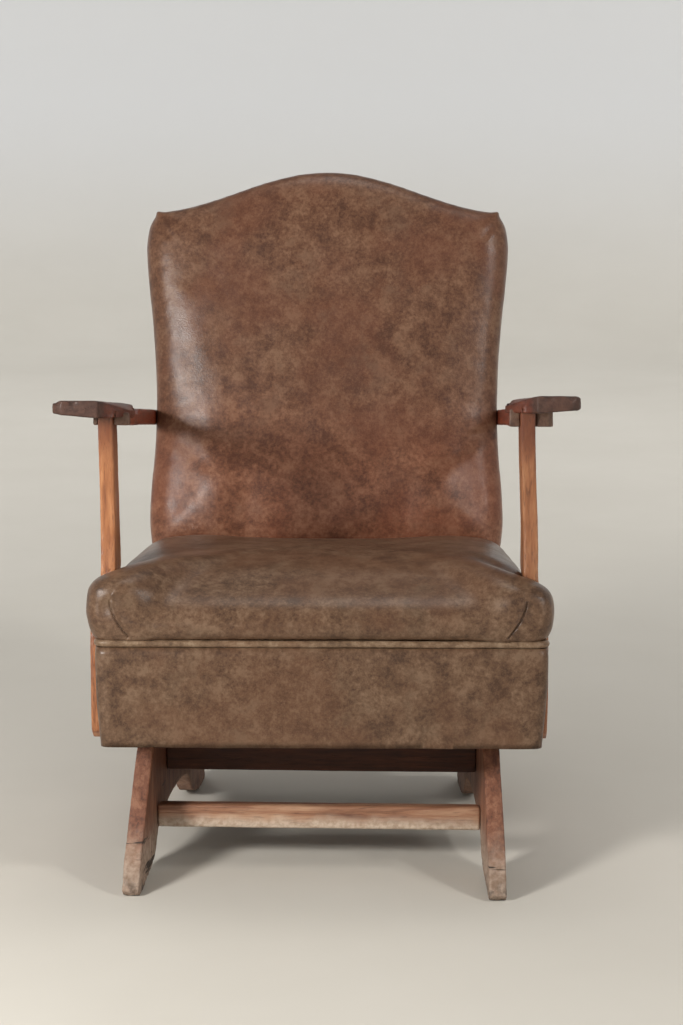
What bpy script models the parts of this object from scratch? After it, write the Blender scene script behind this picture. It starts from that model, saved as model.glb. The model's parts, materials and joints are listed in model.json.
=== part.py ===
"""Upholstered platform rocker: a wooden armchair that rocks on four coil springs over a fixed base.

Metres, +Z up. The sitter faces -Y, +X is the chair's side on the right of a viewer in front of it.
The origin is on the floor, under the middle of the whole chair. Depths along Y are first worked out
as distances behind the front edge of the front feet, then shifted by FEET_FRONT_Y.
"""

import math

import bmesh
import bpy
from mathutils import Vector

GAP = 0.0003
BEVEL = 0.0015

# Whole chair
FEET_FRONT_Y = -0.34128

# Base: two arched side boards, toed in towards the rear, joined by four crosspieces
BASE_LENGTH = 0.515
BASE_MIDDLE = BASE_LENGTH / 2
BASE_FRONT_HALF_WIDTH = 0.2395
BASE_TOE_IN = math.radians(4.0)
BASE_TOP_Z = 0.215
BASE_BOARD = 0.022
ARCH_TOP_Z = 0.063
STRETCHER_DEPTH = 0.019
STRETCHER_LOW_Z = 0.050
STRETCHER_HIGH_Z = 0.081
FRONT_STRETCHER_AT = 0.130
REAR_STRETCHER_AT = 0.402
CROSS_RAIL_DEPTH = 0.022
CROSS_RAIL_LOW_Z = 0.107
CROSS_RAIL_HIGH_Z = 0.177
FRONT_CROSS_RAIL_AT = 0.198

# Rocker springs, two on each side, between a lower and an upper steel plate
PLATE_THICK = 0.003
PLATE_HALF_LENGTH = 0.071
PLATE_WIDTH = 0.038
SPRING_HEIGHT = 0.040
SPRING_OUTER_RADIUS = 0.0165
SPRING_WIRE_RADIUS = 0.0028
SPRING_TURNS = 4.0
SPRING_SPACING = 0.045
BUMPER_AT = 0.093
BUMPER_RADIUS = 0.009
BUMPER_HEIGHT = 0.0285
BOLT_RADIUS = 0.006
BOLT_HEAD = 0.004
LOWER_PLATE_Z = BASE_TOP_Z + GAP
SPRING_LOW_Z = LOWER_PLATE_Z + PLATE_THICK + GAP
UPPER_PLATE_Z = SPRING_LOW_Z + SPRING_HEIGHT + GAP
BEARER_LOW_Z = UPPER_PLATE_Z + PLATE_THICK + GAP
PIVOT_Z = SPRING_LOW_Z + SPRING_HEIGHT / 2

# Seat box, tilted back; s runs rearwards along it and t up from the pivot
SEAT_TILT = math.radians(4.5)
RAIL = 0.019
COVER = 0.003
APRON_FRONT_S = -0.2529
APRON_PAD = 0.006
APRON_LOW_T = -0.0617
APRON_HIGH_T = 0.0690
APRON_TOP_HALF_WIDTH = 0.2796
APRON_LOW_HALF_WIDTH = 0.2727
SIDE_HALF_WIDTH = 0.2690
SIDE_TAPER = 0.06
SIDE_END = 0.452
BEARER_WIDTH = 0.040
WELT_RADIUS = 0.0045
STRAP_THICK = 0.002
STRAP_WIDTH = 0.050
STRAP_END_S = 0.238
DECK_THICK = 0.0065
CUSHION_TOP_T = 0.1520
CUSHION_FRONT_S = -0.2600
CUSHION_FRONT_HALF_WIDTH = 0.2840
CUSHION_WAIST_HALF_WIDTH = 0.2560
CUSHION_REAR_HALF_WIDTH = 0.2380
CUSHION_REAR_S = 0.1700
CUSHION_HORN_S = -0.2130

# Back, leaning rearwards from the line where its front meets the seat
BACK_TILT = math.radians(15.0)
BACK_AT = 0.454
BACK_Z = 0.380
BACK_PAD = 0.0447
STILE_DEPTH = 0.050
STILE_OUTER = 0.2415
STILE_LOW = -0.205
STILE_HIGH = 0.432
BACK_LOW = -0.030
BACK_BOTTOM_HALF_WIDTH = 0.2460
BACK_WAIST_HALF_WIDTH = 0.2413
BACK_SHOULDER_HALF_WIDTH = 0.2570
BACK_SHOULDER = 0.448
BACK_CREST = 0.514
PANEL_THICK = 0.004

# Arms, sloping down to the rear
ARM_TILT = math.radians(8.7)
ARM_AT = 0.024
ARM_Z = 0.6215
PADDLE_TOP = 0.0100
PADDLE_UNDERSIDE = -0.0034
PADDLE_LIP_DROP = 0.0070
PADDLE_LIP_DEPTH = 0.0250
ARM_RAIL_THICK = 0.0200
ARM_TIP_HALF_WIDTH = 0.3200
POST = 0.019
POST_LOW_Z = 0.190
POST_LOW_HALF_WIDTH = 0.2869
POST_TOP_HALF_WIDTH = 0.2735
POST_SPREAD_LOW_Z = 0.327
POST_SPREAD_HIGH_Z = 0.405
PLUG_RADIUS = 0.0065
PLUG_HEIGHT = 0.0025
PLUG_AT = 0.103

WOOD = (0.36, 0.15, 0.055)
PALE_WOOD = (0.50, 0.27, 0.12)
DARK_WOOD = (0.17, 0.065, 0.03)
FRAME_WOOD = (0.52, 0.38, 0.22)
VINYL = (0.115, 0.068, 0.045)
JUTE = (0.42, 0.33, 0.20)
STEEL = (0.30, 0.29, 0.28)
BLACK_RUBBER = (0.02, 0.02, 0.02)


def behind(distance):
    """World Y of a point that lies this far behind the front edge of the front feet."""
    return distance + FEET_FRONT_Y


PIVOT = Vector((0.0, behind(BASE_MIDDLE), PIVOT_Z))


def clear_scene():
    for obj in list(bpy.data.objects):
        bpy.data.objects.remove(obj, do_unlink=True)


def material(name, colour, roughness, metallic=0.0):
    mat = bpy.data.materials.new(name)
    mat.use_nodes = True
    shader = mat.node_tree.nodes["Principled BSDF"]
    shader.inputs["Base Color"].default_value = (*colour, 1.0)
    shader.inputs["Roughness"].default_value = roughness
    shader.inputs["Metallic"].default_value = metallic
    mat.diffuse_color = (*colour, 1.0)
    return mat


def empty(name, location, tilt=0.0, turn=0.0, parent=None):
    obj = bpy.data.objects.new(name, None)
    bpy.context.scene.collection.objects.link(obj)
    obj.parent = parent
    obj.location = location
    obj.rotation_euler = (tilt, 0.0, turn)
    return obj


def link(name, bm, mat, parent=None, smooth=False):
    """Turns a bmesh into a named object under its parent; the mesh is in the parent's own axes."""
    bmesh.ops.recalc_face_normals(bm, faces=bm.faces)
    mesh = bpy.data.meshes.new(name)
    bm.to_mesh(mesh)
    bm.free()
    mesh.materials.append(mat)
    if smooth:
        mesh.shade_smooth()
        mesh.set_sharp_from_angle(angle=math.radians(40))
    obj = bpy.data.objects.new(name, mesh)
    bpy.context.scene.collection.objects.link(obj)
    obj.parent = parent
    return obj


def soften(obj, width=BEVEL, segments=1):
    bevel = obj.modifiers.new("edges", "BEVEL")
    bevel.width = width
    bevel.segments = segments
    bevel.limit_method = "ANGLE"
    bevel.angle_limit = math.radians(35)
    return obj


def smooth_path(points, steps):
    """A smooth open curve through the points, with this many steps between each two."""
    points = [Vector(p) for p in points]
    ends = [2 * points[0] - points[1]] + points + [2 * points[-1] - points[-2]]
    path = []
    for a, b, c, d in zip(ends, ends[1:], ends[2:], ends[3:]):
        for step in range(steps):
            f = step / steps
            path.append(
                0.5 * (2 * b + (c - a) * f + (2 * a - 5 * b + 4 * c - d) * f**2
                       + (3 * b - a - 3 * c + d) * f**3)
            )
    path.append(points[-1])
    return path


def loft(name, rings, mat, parent=None, smooth=False):
    """A closed solid through rings of equal length, with its first and last ring filled."""
    bm = bmesh.new()
    loops = [[bm.verts.new(p) for p in ring] for ring in rings]
    for low, high in zip(loops, loops[1:]):
        for i in range(len(low)):
            j = (i + 1) % len(low)
            bm.faces.new((low[i], low[j], high[j], high[i]))
    bm.faces.new(reversed(loops[0]))
    bm.faces.new(loops[-1])
    return link(name, bm, mat, parent, smooth)


def board(name, outline, x_low, x_high, mat, parent=None):
    """A board drawn in side view: (y, z) points, between two X positions that may depend on them."""
    rings = [[(side(y, z), y, z) for y, z in outline] for side in (x_low, x_high)]
    return loft(name, rings, mat, parent)


def plank(name, outline, z_low, z_high, mat, parent=None):
    """A board drawn in plan: (x, y) points, between two heights."""
    rings = [[(x, y, z) for x, y in outline] for z in (z_low, z_high)]
    return loft(name, rings, mat, parent)


def lipped_plank(name, outline, z_low, z_high, drop, depth, mat, parent=None):
    """A plank whose front part hangs lower: by this drop, as far back as this depth."""
    bm = bmesh.new()
    low, high = [[bm.verts.new((x, y, z)) for x, y in outline] for z in (z_low, z_high)]
    count = len(outline)
    for i in range(count):
        j = (i + 1) % count
        bm.faces.new((low[i], low[j], high[j], high[i]))
    bm.faces.new(reversed(low))
    bm.faces.new(high)
    bmesh.ops.recalc_face_normals(bm, faces=bm.faces)
    whole = bm.verts[:] + bm.edges[:] + bm.faces[:]
    bmesh.ops.bisect_plane(bm, geom=whole, plane_co=(0, depth, 0), plane_no=(0, 1, 0))
    front = [f for f in bm.faces if f.normal.z < -0.9 and f.calc_center_median().y < depth]
    made = bmesh.ops.extrude_face_region(bm, geom=front)["geom"]
    lowered = [v for v in made if isinstance(v, bmesh.types.BMVert)]
    bmesh.ops.delete(bm, geom=front, context="FACES_ONLY")
    bmesh.ops.translate(bm, verts=lowered, vec=(0, 0, -drop))
    return link(name, bm, mat, parent)


def block(name, low, high, mat, parent=None):
    """A straight box between two corners."""
    outline = [(low[0], low[1]), (high[0], low[1]), (high[0], high[1]), (low[0], high[1])]
    return plank(name, outline, low[2], high[2], mat, parent)


def at(value):
    return lambda y, z: value


def turned(name, profile, mat, parent, location, segments=16):
    """A round piece about Z from (radius, height) points, which start and end on the axis."""
    bm = bmesh.new()
    rings = []
    for radius, height in profile[1:-1]:
        angles = [math.tau * i / segments for i in range(segments)]
        rings.append([bm.verts.new((radius * math.cos(a), radius * math.sin(a), height)) for a in angles])
    low = bm.verts.new((0, 0, profile[0][1]))
    high = bm.verts.new((0, 0, profile[-1][1]))
    for i in range(segments):
        j = (i + 1) % segments
        bm.faces.new((low, rings[0][j], rings[0][i]))
        for under, over in zip(rings, rings[1:]):
            bm.faces.new((under[i], under[j], over[j], over[i]))
        bm.faces.new((high, rings[-1][i], rings[-1][j]))
    obj = link(name, bm, mat, parent, smooth=True)
    obj.location = location
    return obj


def tube(name, path, radius, mat, parent, sides=8):
    """A round rod along a path, with flat ends."""
    bm = bmesh.new()
    loops = []
    side = None
    for i, point in enumerate(path):
        ahead = path[min(i + 1, len(path) - 1)]
        back = path[max(i - 1, 0)]
        along = (ahead - back).normalized()
        if side is None:
            side = along.orthogonal().normalized()
        side = (side - along * side.dot(along)).normalized()
        other = along.cross(side)
        ring = []
        for k in range(sides):
            angle = math.tau * k / sides
            ring.append(bm.verts.new(point + radius * (math.cos(angle) * side + math.sin(angle) * other)))
        loops.append(ring)
    for low, high in zip(loops, loops[1:]):
        for i in range(sides):
            j = (i + 1) % sides
            bm.faces.new((low[i], low[j], high[j], high[i]))
    bm.faces.new(reversed(loops[0]))
    bm.faces.new(loops[-1])
    return link(name, bm, mat, parent, smooth=True)


def hand(sign):
    return "right" if sign > 0 else "left"


# Base


def base_inner_half(y):
    """Half the clear width between the side boards at world Y."""
    outer = BASE_FRONT_HALF_WIDTH - math.tan(BASE_TOE_IN) * (y - FEET_FRONT_Y)
    return outer - BASE_BOARD / math.cos(BASE_TOE_IN)


def side_board_outline():
    """Side view of a base board about its middle: sloping ends, flat top, low arch between the feet."""
    half = BASE_LENGTH / 2
    front = smooth_path([(-half, 0.010), (-0.238, 0.045), (-0.198, 0.095), (-0.141, 0.163), (-0.103, BASE_TOP_Z)], 3)
    rear = [Vector((-p.x, p.y)) for p in reversed(front)]
    arch_half = [(0.0, ARCH_TOP_Z), (-0.057, 0.060), (-0.103, 0.051), (-0.124, 0.037), (-0.150, 0.014), (-0.226, 0.0)]
    rear_arch = smooth_path([(0.199 if x < -0.2 else -x, z) for x, z in reversed(arch_half)], 2)
    front_arch = smooth_path(arch_half, 2)
    toe = [Vector((-half + 0.006, 0.0))]
    heel = [Vector((half - 0.006, 0.0))]
    return front + rear + heel + rear_arch + front_arch[1:] + toe


def base_side(sign, mat):
    half_at_middle = BASE_FRONT_HALF_WIDTH - math.tan(BASE_TOE_IN) * BASE_MIDDLE - BASE_BOARD / 2
    frame = empty("base_side_frame_" + hand(sign), (sign * half_at_middle, behind(BASE_MIDDLE), 0.0),
                  turn=sign * BASE_TOE_IN)
    outline = [(p.x, p.y) for p in side_board_outline()]
    obj = board("base_side_" + hand(sign), outline, at(-BASE_BOARD / 2), at(BASE_BOARD / 2), mat, frame)
    soften(obj)
    return frame


def crosspiece(name, start, depth, low_z, high_z, mat):
    """A piece across the base, cut to the toed-in side boards."""
    front = behind(start)
    outline = [(front, low_z), (front + depth, low_z), (front + depth, high_z), (front, high_z)]

    def half(y, z):
        return base_inner_half(y) - GAP

    obj = board(name, outline, lambda y, z: -half(y, z), half, mat)
    return soften(obj)


def spring_path():
    radius = SPRING_OUTER_RADIUS - SPRING_WIRE_RADIUS
    steps = 10
    rise = SPRING_HEIGHT - 2 * SPRING_WIRE_RADIUS - 0.001
    count = int(SPRING_TURNS * steps)
    path = []
    for i in range(count + 1):
        turn = math.tau * i / steps
        part = i / count
        height = SPRING_WIRE_RADIUS + 0.0005 + rise * part
        path.append(Vector((radius * math.cos(turn), radius * math.sin(turn), height)))
    return path


def spring_unit(sign, frame, chair, steel, rubber):
    """Two springs between two plates, with the bolts that hold the plates and a bumper at each end."""
    side = hand(sign)
    half = PLATE_WIDTH / 2
    low = LOWER_PLATE_Z
    plate = block("lower_spring_plate_" + side, (-half, -PLATE_HALF_LENGTH, low),
                  (half, PLATE_HALF_LENGTH, low + PLATE_THICK), steel, frame)
    soften(plate, 0.0008)
    upper_frame = empty("upper_plate_frame_" + side, (frame.location.x, 0.0, -PIVOT_Z),
                        turn=sign * BASE_TOE_IN, parent=chair)
    plate = block("upper_spring_plate_" + side, (-half, -PLATE_HALF_LENGTH, UPPER_PLATE_Z),
                  (half, PLATE_HALF_LENGTH, UPPER_PLATE_Z + PLATE_THICK), steel, upper_frame)
    soften(plate, 0.0008)
    head = [(0, 0), (BOLT_RADIUS, 0), (BOLT_RADIUS, BOLT_HEAD * 0.5), (BOLT_RADIUS * 0.6, BOLT_HEAD), (0, BOLT_HEAD)]
    flipped = [(r, -z) for r, z in reversed(head)]
    bumper = [(0, 0), (BUMPER_RADIUS, 0), (BUMPER_RADIUS, BUMPER_HEIGHT * 0.8),
              (BUMPER_RADIUS * 0.7, BUMPER_HEIGHT), (0, BUMPER_HEIGHT)]
    for end, y in (("front", -1), ("rear", 1)):
        coil = tube(f"rocker_spring_{side}_{end}", spring_path(), SPRING_WIRE_RADIUS, steel, frame, sides=6)
        coil.location = (0.0, y * SPRING_SPACING, SPRING_LOW_Z)
        turned(f"bumper_{side}_{end}", bumper, rubber, frame, (0, y * BUMPER_AT, BASE_TOP_Z + GAP))
        bolt_y = y * (SPRING_SPACING - SPRING_OUTER_RADIUS - BOLT_RADIUS - 0.006)
        turned(f"lower_bolt_{side}_{end}", head, steel, frame, (0, bolt_y, SPRING_LOW_Z), segments=8)
        turned(f"upper_bolt_{side}_{end}", flipped, steel, upper_frame,
               (0, bolt_y, UPPER_PLATE_Z - GAP), segments=8)


# Seat


def side_half(distance):
    """Half-width of the seat box over its side covers, this far behind the feet."""
    return SIDE_HALF_WIDTH - SIDE_TAPER * (distance - 0.02)


def side_from_s(s, inset=0.0):
    """The same, for a place s along the tilted seat."""
    return side_half(s + BASE_MIDDLE) - inset


def seat_front(seat, frame_wood, vinyl):
    rail_s = APRON_FRONT_S + APRON_PAD + GAP
    ends = [rail_s, rail_s + RAIL]
    outline = [(s, APRON_LOW_T + COVER) for s in ends] + [(s, APRON_HIGH_T) for s in reversed(ends)]

    def half(y, z):
        return side_from_s(y, COVER + GAP)

    soften(board("seat_rail_front", outline, lambda y, z: -half(y, z), half, frame_wood, seat))
    rings = []
    for t, x in ((APRON_LOW_T, APRON_LOW_HALF_WIDTH), (APRON_HIGH_T, APRON_TOP_HALF_WIDTH)):
        back = APRON_FRONT_S + APRON_PAD
        rings.append([(-x, APRON_FRONT_S, t), (x, APRON_FRONT_S, t), (x, back, t), (-x, back, t)])
    apron = loft("apron_front", rings, vinyl, seat)
    soften(apron, 0.0025, 2)
    return rail_s + RAIL + GAP


def seat_sides(seat, rails_from, frame_wood, vinyl):
    """The side rails run from the front rail to the stiles, with a vinyl cover outside each."""
    end = SIDE_END - BASE_MIDDLE
    low = APRON_LOW_T + COVER
    lean = math.tan(BACK_TILT - SEAT_TILT)
    drop = end - lean * (APRON_HIGH_T - low)
    outline = [(rails_from, low), (drop, low), (end, APRON_HIGH_T), (rails_from, APRON_HIGH_T)]
    cover_from = APRON_FRONT_S + APRON_PAD + GAP
    cover = [(cover_from, APRON_LOW_T), (drop, APRON_LOW_T), (end, APRON_HIGH_T), (cover_from, APRON_HIGH_T)]
    for sign in (-1, 1):
        def outer(y, z, inset=0.0):
            return sign * side_from_s(y, inset)

        obj = board("seat_rail_" + hand(sign), outline, lambda y, z: outer(y, z, COVER + GAP + RAIL),
                    lambda y, z: outer(y, z, COVER + GAP), frame_wood, seat)
        soften(obj)
        board("apron_side_" + hand(sign), cover, lambda y, z: outer(y, z, COVER), outer, vinyl, seat)


def to_seat(y, z):
    """World (Y, Z) of a point to the tilted seat's (s, t)."""
    dy, dz = y - PIVOT.y, z - PIVOT.z
    return dy * math.cos(SEAT_TILT) - dz * math.sin(SEAT_TILT), dy * math.sin(SEAT_TILT) + dz * math.cos(SEAT_TILT)


def seat_bearers(seat, rails_from, frame_wood):
    """Boards from front to rear over the spring plates; level below, tilted with the seat above."""
    middle = BASE_FRONT_HALF_WIDTH - math.tan(BASE_TOE_IN) * BASE_MIDDLE - BASE_BOARD / 2
    low_front = to_seat(behind(0.0335), BEARER_LOW_Z)
    low_rear = to_seat(behind(0.472), BEARER_LOW_Z)
    high_rear = to_seat(behind(0.478), BEARER_LOW_Z + 0.020)
    top = APRON_HIGH_T
    outline = [(rails_from, low_front[1]), low_rear, high_rear, (high_rear[0], top), (rails_from, top)]
    for sign in (-1, 1):
        inner = sign * (middle - BEARER_WIDTH / 2)
        outer = sign * (middle + BEARER_WIDTH / 2)

        def x_outer(y, z, outer=outer):
            limit = side_from_s(y, COVER + RAIL + 3 * GAP)
            return sign * min(abs(outer), limit)

        obj = board("seat_bearer_" + hand(sign), outline, at(inner), x_outer, frame_wood, seat)
        soften(obj)


def seat_straps(seat, jute):
    low = APRON_HIGH_T + GAP
    for i in range(4):
        x = (i - 1.5) * 0.1
        block(f"seat_strap_{i + 1}", (x - STRAP_WIDTH / 2, APRON_FRONT_S + 0.012, low),
              (x + STRAP_WIDTH / 2, STRAP_END_S, low + STRAP_THICK), jute, seat)


def rounded(corners, radii, steps=4):
    """A closed outline in plan with each corner rounded by its own radius."""
    out = []
    count = len(corners)
    for i, radius in enumerate(radii):
        corner = Vector(corners[i])
        before = (Vector(corners[i - 1]) - corner).normalized()
        after = (Vector(corners[(i + 1) % count]) - corner).normalized()
        turn = before.angle(after)
        reach = radius / math.tan(turn / 2)
        centre = corner + (before + after).normalized() * (radius / math.sin(turn / 2))
        start = corner + before * reach - centre
        finish = corner + after * reach - centre
        for step in range(steps + 1):
            out.append(centre + start.lerp(finish, step / steps).normalized() * radius)
    return out


def crowned(name, outline, levels, mat, parent, upright=False):
    """A soft solid: its outline is drawn in by an amount at each level, so that its edges are round."""
    rings = []
    middle = sum(outline, Vector((0.0, 0.0))) / len(outline)
    for level, inset in levels:
        ring = []
        for p in outline:
            out = p - middle
            scale = Vector((1 - inset / max(abs(out.x), 0.12), 1 - inset / max(abs(out.y), 0.12)))
            q = middle + Vector((out.x * scale.x, out.y * scale.y))
            ring.append((q.x, level, q.y) if upright else (q.x, q.y, level))
        rings.append(ring)
    return loft(name, rings, mat, parent, smooth=True)


def seat_soft(seat, vinyl, jute):
    low = APRON_HIGH_T + 2 * GAP + STRAP_THICK
    deck_half = 0.2520
    rear_half = 0.2300
    front = APRON_FRONT_S + 0.016
    plank("seat_deck", [(-deck_half, front), (deck_half, front), (rear_half, 0.170), (-rear_half, 0.170)],
          low, low + DECK_THICK, jute, seat)
    low += DECK_THICK + 0.0012
    f, w, r = CUSHION_FRONT_HALF_WIDTH, CUSHION_WAIST_HALF_WIDTH, CUSHION_REAR_HALF_WIDTH
    notch = CUSHION_HORN_S + 0.014
    corners = [(f, CUSHION_FRONT_S), (f, CUSHION_HORN_S), (w, notch), (r, CUSHION_REAR_S)]
    corners += [(-x, y) for x, y in reversed(corners)]
    radii = [0.022, 0.014, 0.006, 0.012, 0.012, 0.006, 0.014, 0.022]
    outline = rounded(corners, radii, 3)
    height = CUSHION_TOP_T - low
    levels = [(low, 0.012), (low + 0.008, 0.003), (low + 0.40 * height, 0.0), (low + 0.66 * height, 0.003),
              (low + 0.88 * height, 0.012), (low + height, 0.034)]
    crowned("seat_cushion", outline, levels, vinyl, seat)


def welt(seat, vinyl):
    t = APRON_HIGH_T + WELT_RADIUS + GAP
    front_s = APRON_FRONT_S + 0.0038
    x = APRON_TOP_HALF_WIDTH - 0.0048
    run = []
    for s in (0.150, 0.02, -0.10, -0.195):
        run.append((side_from_s(s, WELT_RADIUS + 0.0004), s, t))
    corner = [(side_from_s(-0.224, WELT_RADIUS) + 0.002, -0.224, t), (x, front_s + 0.016, t),
              (x - 0.004, front_s + 0.004, t), (x - 0.018, front_s, t), (0.12, front_s, t)]
    half = run + corner
    whole = half + [(-a, b, c) for a, b, c in reversed(half)]
    return tube("seat_welt", smooth_path(whole, 2), WELT_RADIUS, vinyl, seat, sides=8)


# Back


def stiles(back, frame_wood):
    start = BACK_PAD + GAP
    for sign in (-1, 1):
        inner = sign * (STILE_OUTER - RAIL)
        outer = sign * STILE_OUTER
        low, high = sorted((inner, outer))
        obj = block("back_stile_" + hand(sign), (low, start, STILE_LOW),
                    (high, start + STILE_DEPTH, STILE_HIGH), frame_wood, back)
        soften(obj)


def crest_height(x, fall):
    """Height of the back's arched top at x, level with the shoulders at half-width."""
    part = min(abs(x) / BACK_SHOULDER_HALF_WIDTH, 1.0)
    return BACK_CREST - fall * (1 - math.cos(math.pi * part)) / 2


def back_rails(back, frame_wood):
    half = STILE_OUTER - RAIL - GAP
    start = BACK_PAD + GAP + 0.004
    front = start + RAIL
    block_low = block("seat_rail_rear", (-half, start, STILE_LOW), (half, front, -0.0800), frame_wood, back)
    soften(block_low)
    soften(block("back_rail_lower", (-half, start, 0.000), (half, front, 0.050), frame_wood, back))
    xs = [-half + 2 * half * i / 10 for i in range(11)]
    inset = 0.004
    top = [(x, crest_height(x, BACK_CREST - BACK_SHOULDER) - inset) for x in reversed(xs)]
    outline = [(-half, 0.385), (half, 0.385)] + top
    rings = [[(x, y, z) for x, z in outline] for y in (start, front)]
    soften(loft("back_rail_crest", rings, frame_wood, back))


def back_straps(back, jute):
    half = STILE_OUTER
    low = BACK_PAD - STRAP_THICK
    for i, z in enumerate((0.13, 0.29)):
        block(f"back_strap_{i + 1}", (-half + 0.004, low, z - STRAP_WIDTH / 2),
              (half - 0.004, BACK_PAD, z + STRAP_WIDTH / 2), jute, back)


def back_outline():
    """Front view of the back: right side from the bottom up, then the arched top, then mirrored."""
    side = smooth_path([(BACK_BOTTOM_HALF_WIDTH - 0.004, BACK_LOW), (BACK_BOTTOM_HALF_WIDTH, 0.04),
                        (BACK_WAIST_HALF_WIDTH, 0.165), (0.2470, 0.27), (0.2555, 0.37),
                        (BACK_SHOULDER_HALF_WIDTH, 0.418)], 2)
    shoulder = [Vector((BACK_SHOULDER_HALF_WIDTH - 0.004, BACK_SHOULDER - 0.010))]
    steps = 8
    crest = []
    for i in range(1, steps + 1):
        x = (BACK_SHOULDER_HALF_WIDTH - 0.010) * (1 - i / steps)
        crest.append(Vector((x, crest_height(x, BACK_CREST - BACK_SHOULDER))))
    half = side + shoulder + crest
    return half + [Vector((-p.x, p.y)) for p in reversed(half[:-1])]


def back_soft(back, vinyl):
    outline = back_outline()
    rear = BACK_PAD - STRAP_THICK - GAP
    levels = [(-0.012, 0.050), (-0.008, 0.020), (0.002, 0.006), (0.014, 0.0), (rear, 0.0)]
    crowned("back_cushion", outline, levels, vinyl, back, upright=True)
    start = BACK_PAD + 2 * GAP + STILE_DEPTH
    inset = 0.004
    panel = [Vector((p.x * (1 - inset / 0.25), min(p.y, BACK_CREST) - inset)) for p in outline]
    lowest = min(p.y for p in panel)
    panel = [Vector((min(max(p.x, -STILE_OUTER), STILE_OUTER) if p.y < 0.2 else p.x,
                     STILE_LOW if p.y < lowest + 0.001 else p.y)) for p in panel]
    rings = [[(p.x, y, p.y) for p in panel] for y in (start, start + PANEL_THICK)]
    loft("back_panel", rings, vinyl, back)


# Arms


def arm_outlines():
    """Plans of the paddle and of the rail, whose front end is slotted for the post; for +X, y rearwards."""
    outer = smooth_path([(0.3090, 0.0000), (0.3185, 0.0080), (ARM_TIP_HALF_WIDTH, 0.0250), (0.3170, 0.0700),
                         (0.3060, 0.1300), (0.2920, 0.1900), (0.2790, 0.2400)], 3)
    rear = [Vector((0.2690, 0.2540)), Vector((0.2560, 0.2560))]
    inner = smooth_path([(0.2460, 0.2460), (0.2390, 0.1900), (0.2300, 0.1150), (0.2350, 0.0620), (0.2630, 0.0000)], 3)
    paddle = outer + rear + inner
    slot_inner, slot_outer = POST_TOP_HALF_WIDTH - POST - GAP, POST_TOP_HALF_WIDTH + GAP
    slot = ((slot_inner, 0.0560), (slot_inner, 0.1055), (slot_outer, 0.1055), (slot_outer, 0.0560))
    rail = [Vector(p) for p in slot + ((0.2810, 0.0560), (0.2860, 0.0610), (0.2870, 0.0740))]
    rail += smooth_path([(0.2850, 0.1200), (0.2760, 0.2400), (0.2680, 0.3600), (0.2640, 0.5550)], 2)
    rail += smooth_path([(0.2425, 0.5550), (0.2425, 0.4200), (0.2400, 0.2400), (0.2390, 0.0700)], 2)
    rail.append(Vector((0.2440, 0.0560)))
    return paddle, rail


def arm(sign, arm_frame, chair, wood, pale):
    side = hand(sign)
    paddle, rail = arm_outlines()
    flip = [(sign * p.x, p.y) for p in paddle]
    soften(lipped_plank("arm_paddle_" + side, flip, PADDLE_UNDERSIDE, PADDLE_TOP, PADDLE_LIP_DROP,
                        PADDLE_LIP_DEPTH, wood, arm_frame), 0.003, 2)
    flip = [(sign * p.x, p.y) for p in rail]
    high = PADDLE_UNDERSIDE - GAP
    soften(plank("arm_rail_" + side, flip, high - ARM_RAIL_THICK, high, wood, arm_frame), 0.002)
    post(sign, chair, pale)
    post_plugs(sign, chair, wood)


def post_outer(z):
    """Half-width over the posts at world height z: upright above, spread outside the seat box below."""
    f = min(max((z - POST_SPREAD_LOW_Z) / (POST_SPREAD_HIGH_Z - POST_SPREAD_LOW_Z), 0.0), 1.0)
    ease = f * f * (3 - 2 * f)
    return POST_LOW_HALF_WIDTH - (POST_LOW_HALF_WIDTH - POST_TOP_HALF_WIDTH) * ease


def post_top_z(distance):
    """World height just under the paddle, this far behind the feet."""
    below = 2 * GAP - PADDLE_UNDERSIDE
    along = (distance - ARM_AT + below * math.sin(ARM_TILT)) / math.cos(ARM_TILT)
    return ARM_Z - along * math.sin(ARM_TILT) - below * math.cos(ARM_TILT)


def post(sign, chair, mat):
    """An arm post: a curved board outside the seat box, wider at its foot, its top in the rail's slot."""
    front = [(0.056, POST_LOW_Z + 0.012), (0.054, 0.240), (0.058, 0.300), (0.066, 0.345), (0.074, 0.390),
             (0.082, 0.460), (0.079, 0.530), (0.070, post_top_z(0.070))]
    rear = [(0.122, post_top_z(0.122)), (0.128, 0.530), (0.136, 0.460), (0.144, 0.390), (0.149, 0.345),
            (0.152, 0.300), (0.152, 0.240), (0.146, POST_LOW_Z + 0.012)]
    foot = [(0.134, POST_LOW_Z), (0.070, POST_LOW_Z)]
    profile = smooth_path(front, 2) + smooth_path(rear, 2) + [Vector(p) for p in foot]
    rings = []
    for inset in (POST, 0.0):
        ring = []
        for p in profile:
            x = sign * (post_outer(p.y) - inset)
            ring.append(Vector((x, behind(p.x), p.y)) - PIVOT)
        rings.append(ring)
    bm = bmesh.new()
    inner, outer = [[bm.verts.new(p) for p in ring] for ring in rings]
    count = len(profile)
    for i in range(count):
        j = (i + 1) % count
        bm.faces.new((inner[i], inner[j], outer[j], outer[i]))
    fronts = len(front) * 2 - 1
    rears = len(rear) * 2 - 1
    for ring in (inner, outer):
        for i in range(fronts - 1):
            k = fronts + rears - 1 - i
            bm.faces.new((ring[i], ring[i + 1], ring[k - 1], ring[k]))
        bm.faces.new((ring[0], ring[fronts + rears - 1], ring[fronts + rears], ring[fronts + rears + 1]))
    soften(link("arm_post_" + hand(sign), bm, mat, chair), 0.002)


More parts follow.
